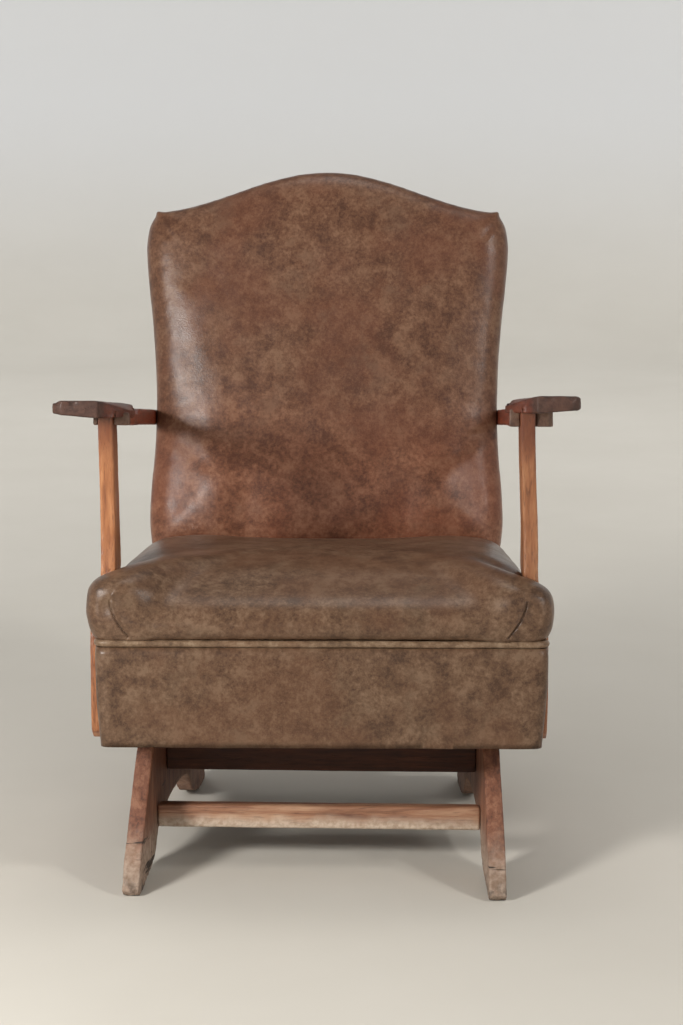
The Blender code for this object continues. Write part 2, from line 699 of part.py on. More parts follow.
def post_plugs(sign, chair, mat):
    """Wooden buttons over the two bolts that hold a post to the side rail."""
    button = [(0, 0), (PLUG_RADIUS, 0), (PLUG_RADIUS, PLUG_HEIGHT * 0.5),
              (PLUG_RADIUS * 0.6, PLUG_HEIGHT), (0, PLUG_HEIGHT)]
    for level, z in (("lower", 0.222), ("upper", 0.288)):
        place = Vector((sign * (POST_LOW_HALF_WIDTH + GAP), behind(PLUG_AT), z)) - PIVOT
        obj = turned(f"post_plug_{hand(sign)}_{level}", button, mat, chair, place, segments=12)
        obj.rotation_euler = (0.0, sign * math.pi / 2, 0.0)


def build():
    clear_scene()
    wood = material("arm_wood", WOOD, 0.45)
    pale = material("post_wood", PALE_WOOD, 0.40)
    leg_wood = material("base_wood", PALE_WOOD, 0.60)
    dark = material("cross_rail_wood", DARK_WOOD, 0.60)
    frame_wood = material("frame_wood", FRAME_WOOD, 0.75)
    vinyl = material("vinyl", VINYL, 0.38)
    jute = material("jute", JUTE, 0.90)
    steel = material("steel", STEEL, 0.45, 1.0)
    rubber = material("rubber", BLACK_RUBBER, 0.80)

    chair = empty("chair_pivot", PIVOT)
    seat = empty("seat_frame", (0, 0, 0), tilt=-SEAT_TILT, parent=chair)
    back = empty("back_frame", Vector((0, behind(BACK_AT), BACK_Z)) - PIVOT, tilt=-BACK_TILT, parent=chair)
    arms = empty("arm_frame", Vector((0, behind(ARM_AT), ARM_Z)) - PIVOT, tilt=-ARM_TILT, parent=chair)

    for sign in (-1, 1):
        frame = base_side(sign, leg_wood)
        spring_unit(sign, frame, chair, steel, rubber)
        arm(sign, arms, chair, wood, pale)
    low, high = STRETCHER_LOW_Z, STRETCHER_HIGH_Z
    crosspiece("base_stretcher_front", FRONT_STRETCHER_AT, STRETCHER_DEPTH, low, high, leg_wood)
    crosspiece("base_stretcher_rear", REAR_STRETCHER_AT, STRETCHER_DEPTH, low, high, leg_wood)
    low, high = CROSS_RAIL_LOW_Z, CROSS_RAIL_HIGH_Z
    crosspiece("base_rail_front", FRONT_CROSS_RAIL_AT, CROSS_RAIL_DEPTH, low, high, dark)
    rear_rail_at = BASE_LENGTH - FRONT_CROSS_RAIL_AT - CROSS_RAIL_DEPTH
    crosspiece("base_rail_rear", rear_rail_at, CROSS_RAIL_DEPTH, low, high, dark)

    rails_from = seat_front(seat, frame_wood, vinyl)
    seat_sides(seat, rails_from, frame_wood, vinyl)
    seat_bearers(seat, rails_from, frame_wood)
    seat_straps(seat, jute)
    seat_soft(seat, vinyl, jute)
    welt(seat, vinyl)
    stiles(back, frame_wood)
    back_rails(back, frame_wood)
    back_straps(back, jute)
    back_soft(back, vinyl)
    bpy.context.view_layer.update()


build()
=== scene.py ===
import json
import math

import bmesh
import bpy
from mathutils import Matrix, Vector, noise
from mathutils.bvhtree import BVHTree


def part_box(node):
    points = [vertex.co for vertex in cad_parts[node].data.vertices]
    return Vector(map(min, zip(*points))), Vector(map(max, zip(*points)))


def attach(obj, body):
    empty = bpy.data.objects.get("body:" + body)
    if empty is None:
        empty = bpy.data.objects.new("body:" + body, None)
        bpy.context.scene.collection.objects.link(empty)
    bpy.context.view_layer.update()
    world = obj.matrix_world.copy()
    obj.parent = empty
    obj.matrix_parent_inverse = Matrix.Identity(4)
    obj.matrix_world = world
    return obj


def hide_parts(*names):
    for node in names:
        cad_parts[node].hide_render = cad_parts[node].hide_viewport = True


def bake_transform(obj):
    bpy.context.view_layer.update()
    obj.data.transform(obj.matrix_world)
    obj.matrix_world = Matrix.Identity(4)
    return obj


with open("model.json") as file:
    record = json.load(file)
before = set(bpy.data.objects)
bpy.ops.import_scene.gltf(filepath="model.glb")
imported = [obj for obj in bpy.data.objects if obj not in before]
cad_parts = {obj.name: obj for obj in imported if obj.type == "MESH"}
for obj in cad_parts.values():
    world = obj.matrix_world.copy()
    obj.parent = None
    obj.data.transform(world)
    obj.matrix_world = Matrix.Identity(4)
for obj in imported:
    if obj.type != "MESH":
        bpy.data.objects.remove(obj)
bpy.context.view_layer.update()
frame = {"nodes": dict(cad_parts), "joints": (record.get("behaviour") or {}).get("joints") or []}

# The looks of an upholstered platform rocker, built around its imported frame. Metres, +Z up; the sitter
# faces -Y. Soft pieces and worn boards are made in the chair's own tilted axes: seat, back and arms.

pivot = Vector(frame["joints"][0]["pos_m"])

# Tilts of the seat, the back and the arms, and the points that they turn about
SEAT_TILT = math.radians(4.5)
BACK_TILT = math.radians(15.0)
ARM_TILT = math.radians(8.7)
TOE_IN = math.radians(4.0)
BACK_FOOT = Vector((0.0, 0.11272, 0.380))
ARM_FOOT = Vector((0.0, -0.31728, 0.6215))

SEAT = Matrix.Translation(pivot) @ Matrix.Rotation(-SEAT_TILT, 4, "X")
BACK = Matrix.Translation(BACK_FOOT) @ Matrix.Rotation(-BACK_TILT, 4, "X")
ARMS = Matrix.Translation(ARM_FOOT) @ Matrix.Rotation(-ARM_TILT, 4, "X")

LEFT, RIGHT = -1, 1


def hand(sign):
    return "right" if sign > 0 else "left"


def span(axes, *nodes):
    """Lowest and highest corner of CAD nodes, measured along the given axes."""
    inverse = axes.inverted()
    points = [inverse @ v.co for name in nodes for v in frame["nodes"][name].data.vertices]
    return Vector(map(min, *points)), Vector(map(max, *points))


# Small maths


def ease(value, start, end):
    """0 before start, 1 after end, smooth between; start may be the larger."""
    f = min(max((value - start) / (end - start), 0.0), 1.0)
    return f * f * (3 - 2 * f)


def bell(distance, width):
    return math.exp(-((distance / width) ** 2))


def lerp(a, b, f):
    return a + (b - a) * f


def wavy(x, y, z):
    """Smooth noise, about -1 to 1."""
    return noise.noise(Vector((x, y, z)))


def smooth_path(points, steps):
    """A smooth open curve through the points, with this many steps between each two."""
    points = [Vector(p) for p in points]
    ends = [2 * points[0] - points[1]] + points + [2 * points[-1] - points[-2]]
    path = []
    for a, b, c, d in zip(ends, ends[1:], ends[2:], ends[3:]):
        for step in range(steps):
            f = step / steps
            path.append(
                0.5 * (2 * b + (c - a) * f + (2 * a - 5 * b + 4 * c - d) * f**2
                       + (3 * b - a - 3 * c + d) * f**3)
            )
    path.append(points[-1])
    return path


def mirrored(path):
    """The other half of an outline that runs on from this one, across the middle."""
    return [Vector((-p.x, p.y)) for p in reversed(path)]


def divided(path, count):
    """The path cut into this many equal lengths, as count + 1 points."""
    lengths = [0.0]
    for a, b in zip(path, path[1:]):
        lengths.append(lengths[-1] + (b - a).length)
    out = []
    k = 0
    for i in range(count + 1):
        want = lengths[-1] * i / count
        while k < len(path) - 2 and lengths[k + 1] < want:
            k += 1
        piece = max(lengths[k + 1] - lengths[k], 1e-9)
        out.append(path[k].lerp(path[k + 1], min((want - lengths[k]) / piece, 1.0)))
    return out


def spaced(path, step):
    """The path's points, evenly spaced about a step apart."""
    total = sum((b - a).length for a, b in zip(path, path[1:]))
    return divided(path, max(int(total / step), 2))


# Meshes


def add_object(name, bm, axes=None):
    """A named object from a bmesh drawn in these axes, with its vertices where they are in the world."""
    bmesh.ops.recalc_face_normals(bm, faces=bm.faces)
    if axes is not None:
        bm.transform(axes)
    mesh = bpy.data.meshes.new(name)
    bm.to_mesh(mesh)
    bm.free()
    mesh.shade_smooth()
    obj = bpy.data.objects.new(name, mesh)
    bpy.context.scene.collection.objects.link(obj)
    return obj


def add_loft(bm, rings, capped=True):
    """Skins rings of equal length; the first and last ring are filled."""
    loops = [[bm.verts.new(p) for p in ring] for ring in rings]
    count = len(loops[0])
    for low, high in zip(loops, loops[1:]):
        for i in range(count):
            j = (i + 1) % count
            bm.faces.new((low[i], low[j], high[j], high[i]))
    if capped:
        bm.faces.new(reversed(loops[0]))
        bm.faces.new(loops[-1])
    return loops


def circle(centre, radius, side, other, count):
    angles = [math.tau * k / count for k in range(count)]
    return [centre + radius * (math.cos(a) * side + math.sin(a) * other) for a in angles]


def add_tube(bm, path, radius, sides):
    """A round rod along a path; radius is a number or a function of the place from 0 to 1."""
    rings = []
    side = None
    last = len(path) - 1
    for i, point in enumerate(path):
        along = (path[min(i + 1, last)] - path[max(i - 1, 0)]).normalized()
        if side is None:
            side = along.orthogonal().normalized()
        side = (side - along * side.dot(along)).normalized()
        other = along.cross(side)
        rings.append(circle(point, radius(i / last) if callable(radius) else radius, side, other, sides))
    add_loft(bm, rings)


def apply_modifiers(obj):
    depsgraph = bpy.context.evaluated_depsgraph_get()
    mesh = bpy.data.meshes.new_from_object(obj.evaluated_get(depsgraph))
    old = obj.data
    obj.modifiers.clear()
    obj.data = mesh
    bpy.data.meshes.remove(old)
    mesh.shade_smooth()


def modify(obj, kind, **settings):
    modifier = obj.modifiers.new(kind.lower(), kind)
    for key, value in settings.items():
        setattr(modifier, key, value)
    apply_modifiers(obj)


def remesh(obj, voxel):
    modify(obj, "REMESH", mode="VOXEL", voxel_size=voxel)


def relax(obj, times):
    modify(obj, "SMOOTH", iterations=times, factor=0.5)


def subdivide(obj):
    modify(obj, "SUBSURF", levels=1, render_levels=1)


def sculpt(obj, axes, shape):
    """Moves each vertex: shape(place, normal), both in the given axes, returns the offset."""
    mesh = obj.data
    inverse = axes.inverted()
    turn = inverse.to_3x3()
    back = axes.to_3x3()
    normals = [v.normal.copy() for v in mesh.vertices]
    for vertex, normal in zip(mesh.vertices, normals):
        offset = shape(inverse @ vertex.co, turn @ normal)
        if offset is not None:
            vertex.co += back @ offset
    mesh.update()


def inflate(obj, axes, held, pressure, cap, frames=20):
    """Cloth under pressure: held(place) is 1 where the cover is tacked down. Moves level off at the cap."""
    mesh = obj.data
    inverse = axes.inverted()
    group = obj.vertex_groups.new(name="tacked")
    for vertex in mesh.vertices:
        weight = held(inverse @ vertex.co)
        if weight > 0:
            group.add([vertex.index], weight, "REPLACE")
    rest = [v.co.copy() for v in mesh.vertices]
    cloth = obj.modifiers.new("cloth", "CLOTH")
    cloth.settings.vertex_group_mass = "tacked"
    cloth.settings.use_pressure = True
    cloth.settings.uniform_pressure_force = pressure
    cloth.settings.effector_weights.gravity = 0.0
    cloth.settings.mass = 0.4
    cloth.settings.bending_stiffness = 2.0
    cloth.point_cache.frame_start = 1
    cloth.point_cache.frame_end = frames
    for step in range(1, frames + 1):
        bpy.context.scene.frame_set(step)
    moved = obj.evaluated_get(bpy.context.evaluated_depsgraph_get()).data
    places = [v.co.copy() for v in moved.vertices]
    obj.modifiers.clear()
    obj.vertex_groups.clear()
    for vertex, start, end in zip(mesh.vertices, rest, places):
        move = end - start
        if move.length > 0:
            move = move.normalized() * (cap * math.tanh(move.length / cap))
        vertex.co = start + move
    mesh.update()
    bpy.context.scene.frame_set(1)


def ready(obj, material, body, nodes=()):
    """Material, slot, body and the CAD nodes that the piece stands for."""
    obj.data.materials.clear()
    obj.data.materials.append(material)
    if body:
        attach(obj, body)
    if nodes:
        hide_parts(*nodes)


# Materials


class Shade:
    """A short way to write one material's nodes. Textures lie in the object's own coordinates."""

    def __init__(self, name):
        self.material = bpy.data.materials.new(name)
        self.material.use_nodes = True
        self.tree = self.material.node_tree
        self.shader = self.tree.nodes["Principled BSDF"]
        self.place = self.node("TexCoord").outputs["Object"]

    def node(self, kind, values=None, **settings):
        made = self.tree.nodes.new("ShaderNode" + kind)
        for key, value in settings.items():
            setattr(made, key, value)
        for key, value in (values or {}).items():
            self.feed(made.inputs[key], value)
        return made

    def feed(self, socket, value):
        if isinstance(value, bpy.types.NodeSocket):
            self.tree.links.new(value, socket)
        elif isinstance(value, tuple) and len(value) == 3 and socket.type == "RGBA":
            socket.default_value = (*value, 1.0)
        else:
            socket.default_value = value

    def stretched(self, scale, turn=(0.0, 0.0, 0.0)):
        values = {"Vector": self.place, "Scale": scale, "Rotation": turn}
        return self.node("Mapping", values, vector_type="TEXTURE").outputs[0]

    def noise(self, scale, detail=3.0, rough=0.5, twist=0.0, where=None):
        values = {"Vector": where or self.place, "Scale": scale, "Detail": detail, "Roughness": rough,
                  "Distortion": twist}
        return self.node("TexNoise", values).outputs["Fac"]

    def cells(self, scale):
        return self.node("TexVoronoi", {"Vector": self.place, "Scale": scale}).outputs["Distance"]

    def axis(self, which):
        return self.node("SeparateXYZ", {0: self.place}).outputs[which]

    def from_to(self, which, start, end):
        """0 at start and 1 at end, along an axis."""
        return self.fade(self.axis(which), start, end)

    def ramp(self, value, *stops):
        """A value to a colour or grey through (position, colour) stops."""
        made = self.node("ValToRGB", {"Fac": value})
        elements = made.color_ramp.elements
        while len(elements) < len(stops):
            elements.new(0.5)
        for element, (position, colour) in zip(elements, stops):
            element.position = position
            grey = not isinstance(colour, tuple)
            element.color = (colour, colour, colour, 1.0) if grey else (*colour, 1.0)
        return made.outputs["Color"]

    def math(self, operation, a, b=0.0):
        return self.node("Math", {0: a, 1: b}, operation=operation).outputs[0]

    def times(self, a, b):
        return self.math("MULTIPLY", a, b)

    def plus(self, a, b):
        return self.math("ADD", a, b)

    def swing(self, value, amount):
        """A noise value turned into a swing about zero."""
        return self.times(self.math("SUBTRACT", value, 0.5), amount)

    def fade(self, value, start, end):
        """0 at start, 1 at end."""
        values = {"Value": value, "From Min": start, "From Max": end}
        return self.node("MapRange", values, interpolation_type="SMOOTHSTEP").outputs[0]

    def mix(self, factor, a, b, kind="MIX"):
        values = {0: factor, 6: a, 7: b}
        return self.node("Mix", values, data_type="RGBA", blend_type=kind).outputs[2]

    def cover(self, colour, tint, mask, amount):
        """The tint over the colour, by this amount where the mask is 1."""
        return self.mix(self.times(mask, amount), colour, tint)

    def patchy(self, scale, detail, rough, dark, pale):
        """A fine mix of two colours."""
        return self.ramp(self.noise(scale, detail, rough), (0.35, dark), (0.65, pale))

    def bump(self, height, distance, under=None):
        values = {"Height": height, "Distance": distance, "Strength": 1.0}
        if under is not None:
            values["Normal"] = under
        return self.node("Bump", values).outputs[0]

    def finish(self, colour, rough, normal=None, **values):
        self.feed(self.shader.inputs["Base Color"], colour)
        self.feed(self.shader.inputs["Roughness"], rough)
        if normal is not None:
            self.feed(self.shader.inputs["Normal"], normal)
        for key, value in values.items():
            self.feed(self.shader.inputs[key.replace("_", " ")], value)
        return self.material


def leatherette(name, dark, brown, pale, warm, smoke, wear_and_painted_light=None):
    """Mottled vinyl: small soft blotches over brown, redder and smokier areas, a pebbled grain, a soft shine.

    The last argument is (axis, start, end, tint): painted light, the tint multiplied over the colour from
    start to end to make that part lighter and redder.
    """
    s = Shade(name)
    turned = s.stretched((1.0, 1.0, 1.0), (0.4, 0.7, 0.2))
    blotches = s.noise(30.0, 5.0, 0.62, 0.1)
    smudges = s.noise(62.0, 4.0, 0.66, 0.2, turned)
    flecks = s.noise(210.0, 3.0, 0.70)
    tone = s.plus(s.times(blotches, 0.36), s.times(smudges, 0.34))
    tone = s.plus(tone, s.times(flecks, 0.30))
    colour = s.ramp(tone, (0.415, dark), (0.50, brown), (0.585, pale))
    clouds = s.noise(6.0, 3.0, 0.60, 0.1, turned)
    blush = s.fade(clouds, 0.42, 0.60)
    colour = s.cover(colour, warm, blush, 0.40)
    haze = s.fade(s.noise(15.0, 5.0, 0.68, 0.1), 0.53, 0.68)
    colour = s.cover(colour, smoke, haze, 0.36)
    # Painted light: the tint is multiplied over the colour along the axis, making that part lighter and
    # redder.
    if wear_and_painted_light:
        axis, start, end, tint = wear_and_painted_light
        place = s.plus(s.axis(axis), s.swing(clouds, 0.2))
        colour = s.mix(s.fade(place, start, end), colour, tint, "MULTIPLY")
    speck = s.fade(s.noise(520.0, 2.0, 0.6), 0.48, 0.74)
    colour = s.cover(colour, pale, speck, 0.30)
    normal = s.bump(s.cells(620.0), 0.00009)
    normal = s.bump(s.noise(1300.0, 2.0, 0.5), 0.00004, normal)
    normal = s.bump(s.noise(60.0, 3.0, 0.5), 0.0003, normal)
    rough = s.ramp(s.noise(22.0, 4.0, 0.6, 0.3), (0.32, 0.29), (0.68, 0.39))
    return s.finish(colour, rough, normal, Specular_IOR_Level=0.25)


# How much longer than wide the figure of the grain is
GRAIN_LENGTH = 14.0


def wood(name, dark, brown, pale, along, turn=0.0, rough=0.42, wear=None, coat=0.25):
    """Grain that runs along one axis: soft figure, dark pores and a varnish that the wear takes off."""
    s = Shade(name)
    stretch = [GRAIN_LENGTH if axis == along else 1.0 for axis in "XYZ"]
    lines = s.stretched(stretch, (turn, 0.0, 0.0))
    figure = s.noise(30.0, 4.0, 0.6, 1.6, lines)
    fibres = s.noise(190.0, 4.0, 0.65, 0.3, lines)
    pores = s.noise(620.0, 2.0, 0.6, 0.0, lines)
    tone = s.plus(s.times(figure, 0.55), s.times(fibres, 0.45))
    colour = s.ramp(tone, (0.38, dark), (0.50, brown), (0.62, pale))
    pore_mask = s.fade(pores, 0.56, 0.70)
    colour = s.mix(s.times(pore_mask, 0.45), colour, tuple(c * 0.35 for c in dark))
    shade = s.fade(s.noise(11.0, 3.0, 0.5), 0.35, 0.7)
    colour = s.mix(s.times(shade, 0.25), colour, tuple(c * 0.8 for c in dark))
    roughness = s.plus(rough - 0.06, s.times(fibres, 0.16))
    height = s.math("SUBTRACT", fibres, s.times(pore_mask, 0.8))
    if wear is not None:
        colour, roughness = wear(s, colour, roughness)
    normal = s.bump(height, 0.00035)
    normal = s.bump(s.noise(45.0, 3.0, 0.5), 0.0008, normal)
    return s.finish(colour, roughness, normal, Coat_Weight=coat, Coat_Roughness=0.25)


def stain_and_painted_shade(s, colour, roughness):
    """Darker and redder towards the top: a dark stain with painted shadow from the paddle above. The right
    post is darker all over: painted shade.
    """
    # Painted shadow of the paddle on the post's top, together with a dark stain.
    top = s.times(s.from_to("Z", 0.52, 0.59), 0.80)
    # Painted shade: the right post is multiplied darker all over.
    right = s.from_to("X", 0.0, 0.1)
    colour = s.mix(right, colour, (0.76, 0.77, 0.84), "MULTIPLY")
    return s.mix(top, colour, (0.13, 0.032, 0.012)), roughness


def worn_feet_and_painted_shade(s, colour, roughness):
    """Scuffed pale near the floor, with grime at the very bottom and cracks across the grain. The pale scuff
    is held back on the rear feet: painted shade.
    """
    height = s.axis("Z")
    patches = s.noise(38.0, 5.0, 0.65, 0.8)
    low = s.fade(height, 0.120, 0.010)
    scuffed = s.fade(s.plus(low, s.swing(patches, 0.7)), 0.20, 0.95)
    pale = s.patchy(120.0, 4.0, 0.6, (0.23, 0.155, 0.108), (0.39, 0.30, 0.235))
    # Painted shade: the pale scuff is weaker towards the rear, so the rear feet stay darker.
    painted_rear_shade_scale = s.plus(0.3, s.times(s.from_to("Y", 0.12, -0.12), 0.6))
    wear_and_painted_light = s.times(scuffed, painted_rear_shade_scale)
    colour = s.mix(wear_and_painted_light, colour, pale)
    dirt = s.times(s.fade(height, 0.030, 0.0), s.fade(s.noise(70.0, 4.0, 0.7), 0.42, 0.6))
    colour = s.mix(dirt, colour, (0.06, 0.045, 0.035))
    cracked = s.noise(60.0, 3.0, 0.6, 0.5, s.stretched((9.0, 9.0, 1.0)))
    line = s.times(s.fade(cracked, 0.655, 0.68), s.fade(height, 0.17, 0.05))
    colour = s.mix(line, colour, (0.035, 0.022, 0.015))
    return colour, s.plus(roughness, s.times(scuffed, 0.25))


def worn_arm(s, colour, roughness):
    """The paddle's front edge is rubbed grey-brown outside its corner."""
    side = s.math("ABSOLUTE", s.axis("X"))
    front = s.from_to("Y", -0.262, -0.295)
    patches = s.swing(s.noise(30.0, 4.0, 0.6), 0.02)
    outside = s.fade(s.plus(side, patches), 0.258, 0.268)
    worn = s.times(outside, front)
    grey = s.patchy(150.0, 4.0, 0.65, (0.027, 0.012, 0.007), (0.070, 0.033, 0.021))
    colour = s.cover(colour, grey, worn, 0.85)
    return colour, s.plus(roughness, s.times(worn, 0.2))


def worn_rail_end(s, colour, roughness):
    """The rail's front end has lost its stain."""
    front = s.from_to("Y", -0.215, -0.245)
    bare = s.patchy(130.0, 4.0, 0.65, (0.060, 0.034, 0.021), (0.150, 0.094, 0.060))
    colour = s.cover(colour, bare, front, 0.85)
    return colour, s.plus(roughness, s.times(front, 0.2))


def worn_lower_edge(s, colour, roughness):
    """The stretcher's lower edge is rubbed pale by shoes."""
    height = s.axis("Z")
    patches = s.swing(s.noise(40.0, 4.0, 0.6), 0.018)
    low = s.fade(s.plus(height, patches), 0.0710, 0.0540)
    pale = s.patchy(160.0, 3.0, 0.6, (0.44, 0.33, 0.24), (0.66, 0.55, 0.44))
    return s.cover(colour, pale, low, 0.85), roughness


def woven(name, dark, pale, count):
    """A plain weave in the XY plane: burlap or webbing, with count threads in a metre."""
    s = Shade(name)
    pitch = math.tau * count / 2
    across = s.math("SINE", s.times(s.axis("X"), pitch))
    along = s.math("SINE", s.times(s.axis("Y"), pitch))
    weave = s.times(across, along)
    weave = s.plus(s.times(weave, 0.5), 0.5)
    fibre = s.noise(500.0, 3.0, 0.7)
    tone = s.plus(s.times(weave, 0.6), s.times(fibre, 0.4))
    colour = s.ramp(tone, (0.25, dark), (0.75, pale))
    return s.finish(colour, 0.92, s.bump(tone, 0.0006))


def steel(name):
    s = Shade(name)
    rust = s.fade(s.noise(55.0, 5.0, 0.7, 0.6), 0.50, 0.68)
    colour = s.mix(rust, (0.30, 0.29, 0.28), (0.14, 0.065, 0.035))
    rough = s.plus(0.38, s.times(rust, 0.4))
    metal = s.math("SUBTRACT", 1.0, s.times(rust, 0.85))
    return s.finish(colour, rough, s.bump(s.noise(300.0, 3.0, 0.6), 0.0002), Metallic=metal)


def rubber(name):
    s = Shade(name)
    dust = s.noise(80.0, 4.0, 0.6)
    colour = s.ramp(dust, (0.35, (0.018, 0.017, 0.016)), (0.75, (0.06, 0.055, 0.05)))
    return s.finish(colour, 0.82, s.bump(s.noise(420.0, 3.0, 0.6), 0.0002))


def floor_material():
    """Warm grey underfoot, a neutral grey up the wall."""
    s = Shade("studio_floor")
    ground = s.ramp(s.noise(1.5, 4.0, 0.6), (0.3, (0.58, 0.55, 0.49)), (0.7, (0.62, 0.59, 0.53)))
    colour = s.mix(s.from_to("Z", 0.0, 0.9), ground, (0.66, 0.66, 0.655))
    return s.finish(colour, 0.75)


# Colours are dark, brown and pale; the vinyls' are followed by a redder and a smokier brown
# The back's last argument is painted light: below about 0.42 m it is multiplied lighter and redder, fading
# out by 0.60 m.
back_vinyl = leatherette("vinyl_back", (0.074, 0.034, 0.021), (0.126, 0.060, 0.035), (0.182, 0.099, 0.060),
                         (0.137, 0.050, 0.028), (0.077, 0.042, 0.029), ("Z", 0.60, 0.42, (1.36, 1.16, 1.12)))
# The seat's last argument is painted light: towards the rear, from y -0.08 to 0.12, it is multiplied lighter
# and redder.
seat_vinyl = leatherette("vinyl_seat", (0.062, 0.034, 0.021), (0.112, 0.063, 0.037), (0.168, 0.105, 0.066),
                         (0.122, 0.056, 0.030), (0.066, 0.042, 0.026), ("Y", -0.08, 0.12, (1.18, 1.0, 0.95)))
# A lighter copy of the seat vinyl: partly worn piping, partly a painted highlight along the welt.
welt_vinyl_painted_highlight = leatherette("vinyl_welt_painted_highlight", (0.095, 0.058, 0.036), (0.165, 0.104, 0.063), (0.25, 0.175, 0.115),
                         (0.170, 0.088, 0.050), (0.095, 0.062, 0.040))
post_wood = wood("post_varnished", (0.17, 0.050, 0.018), (0.39, 0.148, 0.054), (0.55, 0.250, 0.105), "Z",
                 wear=stain_and_painted_shade)
arm_wood = wood("arm_worn", (0.048, 0.010, 0.004), (0.108, 0.021, 0.007), (0.170, 0.043, 0.017), "Y",
                turn=-ARM_TILT, wear=worn_arm, rough=0.5, coat=0.1)
rail_wood = wood("arm_rail_varnished", (0.078, 0.012, 0.004), (0.180, 0.025, 0.006), (0.26, 0.052, 0.015),
                 "Y", turn=-ARM_TILT, wear=worn_rail_end, coat=0.15)
side_wood = wood("base_side_worn", (0.092, 0.031, 0.017), (0.21, 0.080, 0.041), (0.31, 0.145, 0.083), "Z",
                 rough=0.6, wear=worn_feet_and_painted_shade, coat=0.04)
stretcher_wood = wood("stretcher_worn", (0.165, 0.062, 0.032), (0.35, 0.170, 0.096), (0.50, 0.30, 0.185), "X",
                      rough=0.50, wear=worn_lower_edge, coat=0.1)
# Painted shade: the cross rails under the seat are given a very dark brown.
cross_rail_painted_shade_wood = wood("cross_rail_painted_shade", (0.030, 0.009, 0.004), (0.062, 0.018, 0.007), (0.105, 0.033, 0.013), "X",
                 rough=0.75, coat=0.0)
frame_wood = {}
for grain in "XY":
    frame_wood[grain] = wood("frame_bare_" + grain.lower(), (0.30, 0.20, 0.11), (0.46, 0.33, 0.19),
                             (0.58, 0.45, 0.29), grain, rough=0.75, coat=0.0)
burlap = woven("burlap", (0.16, 0.11, 0.06), (0.42, 0.32, 0.19), 420.0)
webbing = woven("jute_webbing", (0.20, 0.14, 0.08), (0.50, 0.40, 0.25), 300.0)
spring_steel = steel("spring_steel")
black_rubber = rubber("bumper_rubber")


# Back: a padded front drawn round the stiles, its cover tacked at the rear


# Half-width of the back from its foot to its shoulder, as (x, height)
BACK_SIDE = ((0.2440, -0.030), (0.2492, 0.012), (0.2478, 0.056), (0.2440, 0.100), (0.2418, 0.140),
             (0.2414, 0.200), (0.2462, 0.284), (0.2536, 0.353), (0.2574, 0.405), (0.2540, 0.434))
SHOULDER = Vector((0.2487, 0.4450))
CREST = 0.5135
CREST_FALL = 0.0590
CREST_HALF = 0.2578
TUCK_X = 0.2400
ARM_LEVEL = 0.165
BACK_ROUND = 0.040
BACK_SIDE_FRONT = 0.018
# The outline is drawn a little large, because smoothing draws it in
BACK_SPREAD = 1.003
BACK_RISE = 0.0024
CUSHION_VOXEL = 0.006


def crest_height(x):
    """Height of the arched top, falling to the shoulders in one wave."""
    return CREST - CREST_FALL * (1 - math.cos(math.pi * min(abs(x) / CREST_HALF, 1.0))) / 2


def back_outline():
    """Front view of the back, closed: right side up, the arch, left side down."""
    right = smooth_path(BACK_SIDE, 4) + [SHOULDER, Vector((TUCK_X, crest_height(TUCK_X)))]
    steps = 30
    across = [TUCK_X * (1 - 2 * i / steps) for i in range(1, steps)]
    whole = right + [Vector((x, crest_height(x))) for x in across] + mirrored(right)
    return [Vector((p.x * BACK_SPREAD, p.y + BACK_RISE * ease(p.y, 0.35, 0.45))) for p in whole]


def drawn_in(outline, inset):
    """The outline moved inwards by an inset, on each axis on its own."""
    reach = 0.13
    heights = [p.y for p in outline]
    middle = Vector((0.0, (min(heights) + max(heights)) / 2))
    ring = []
    for p in outline:
        out = p - middle
        shrink = Vector((1 - inset / max(abs(out.x), reach), 1 - inset / max(abs(out.y), reach)))
        ring.append(middle + Vector((out.x * shrink.x, out.y * shrink.y)))
    return ring


def back_form(rear):
    """Closed rings from the rear edge of the side wrap to the padded front."""
    outline = back_outline()
    front = span(BACK, "back_cushion")[0].y
    levels = [(rear, 0.0030), (rear - 0.003, 0.0006), (rear - 0.008, 0.0), (BACK_SIDE_FRONT, 0.0)]
    steps = 7
    for i in range(1, steps + 1):
        angle = math.pi / 2 * i / steps
        depth = BACK_SIDE_FRONT - (BACK_SIDE_FRONT - front) * math.sin(angle)
        levels.append((depth, BACK_ROUND * (1 - math.cos(angle))))
    for inset in (0.055, 0.085, 0.115):
        levels.append((front - 0.002 * inset / 0.115, inset))
    return [[(p.x, depth, p.y) for p in drawn_in(outline, inset)] for depth, inset in levels]


def stile_wraps(bm, rear):
    """The cover's sides go on down over the stiles to the bottom of the rear seat rail."""
    low, high = span(BACK, "back_stile_left", "back_stile_right")
    front = low.y - 0.002
    for sign in (LEFT, RIGHT):
        inner = sign * (high.x - 0.010)
        outer = sign * (high.x + 0.0022)
        rings = []
        for z in (low.z - 0.001, low.z + 0.002, 0.030, 0.060):
            side = outer - sign * (0.0012 if z < low.z else 0.0)
            rings.append([(inner, front, z), (side, front, z), (side, rear, z), (inner, rear, z)])
        add_loft(bm, rings)


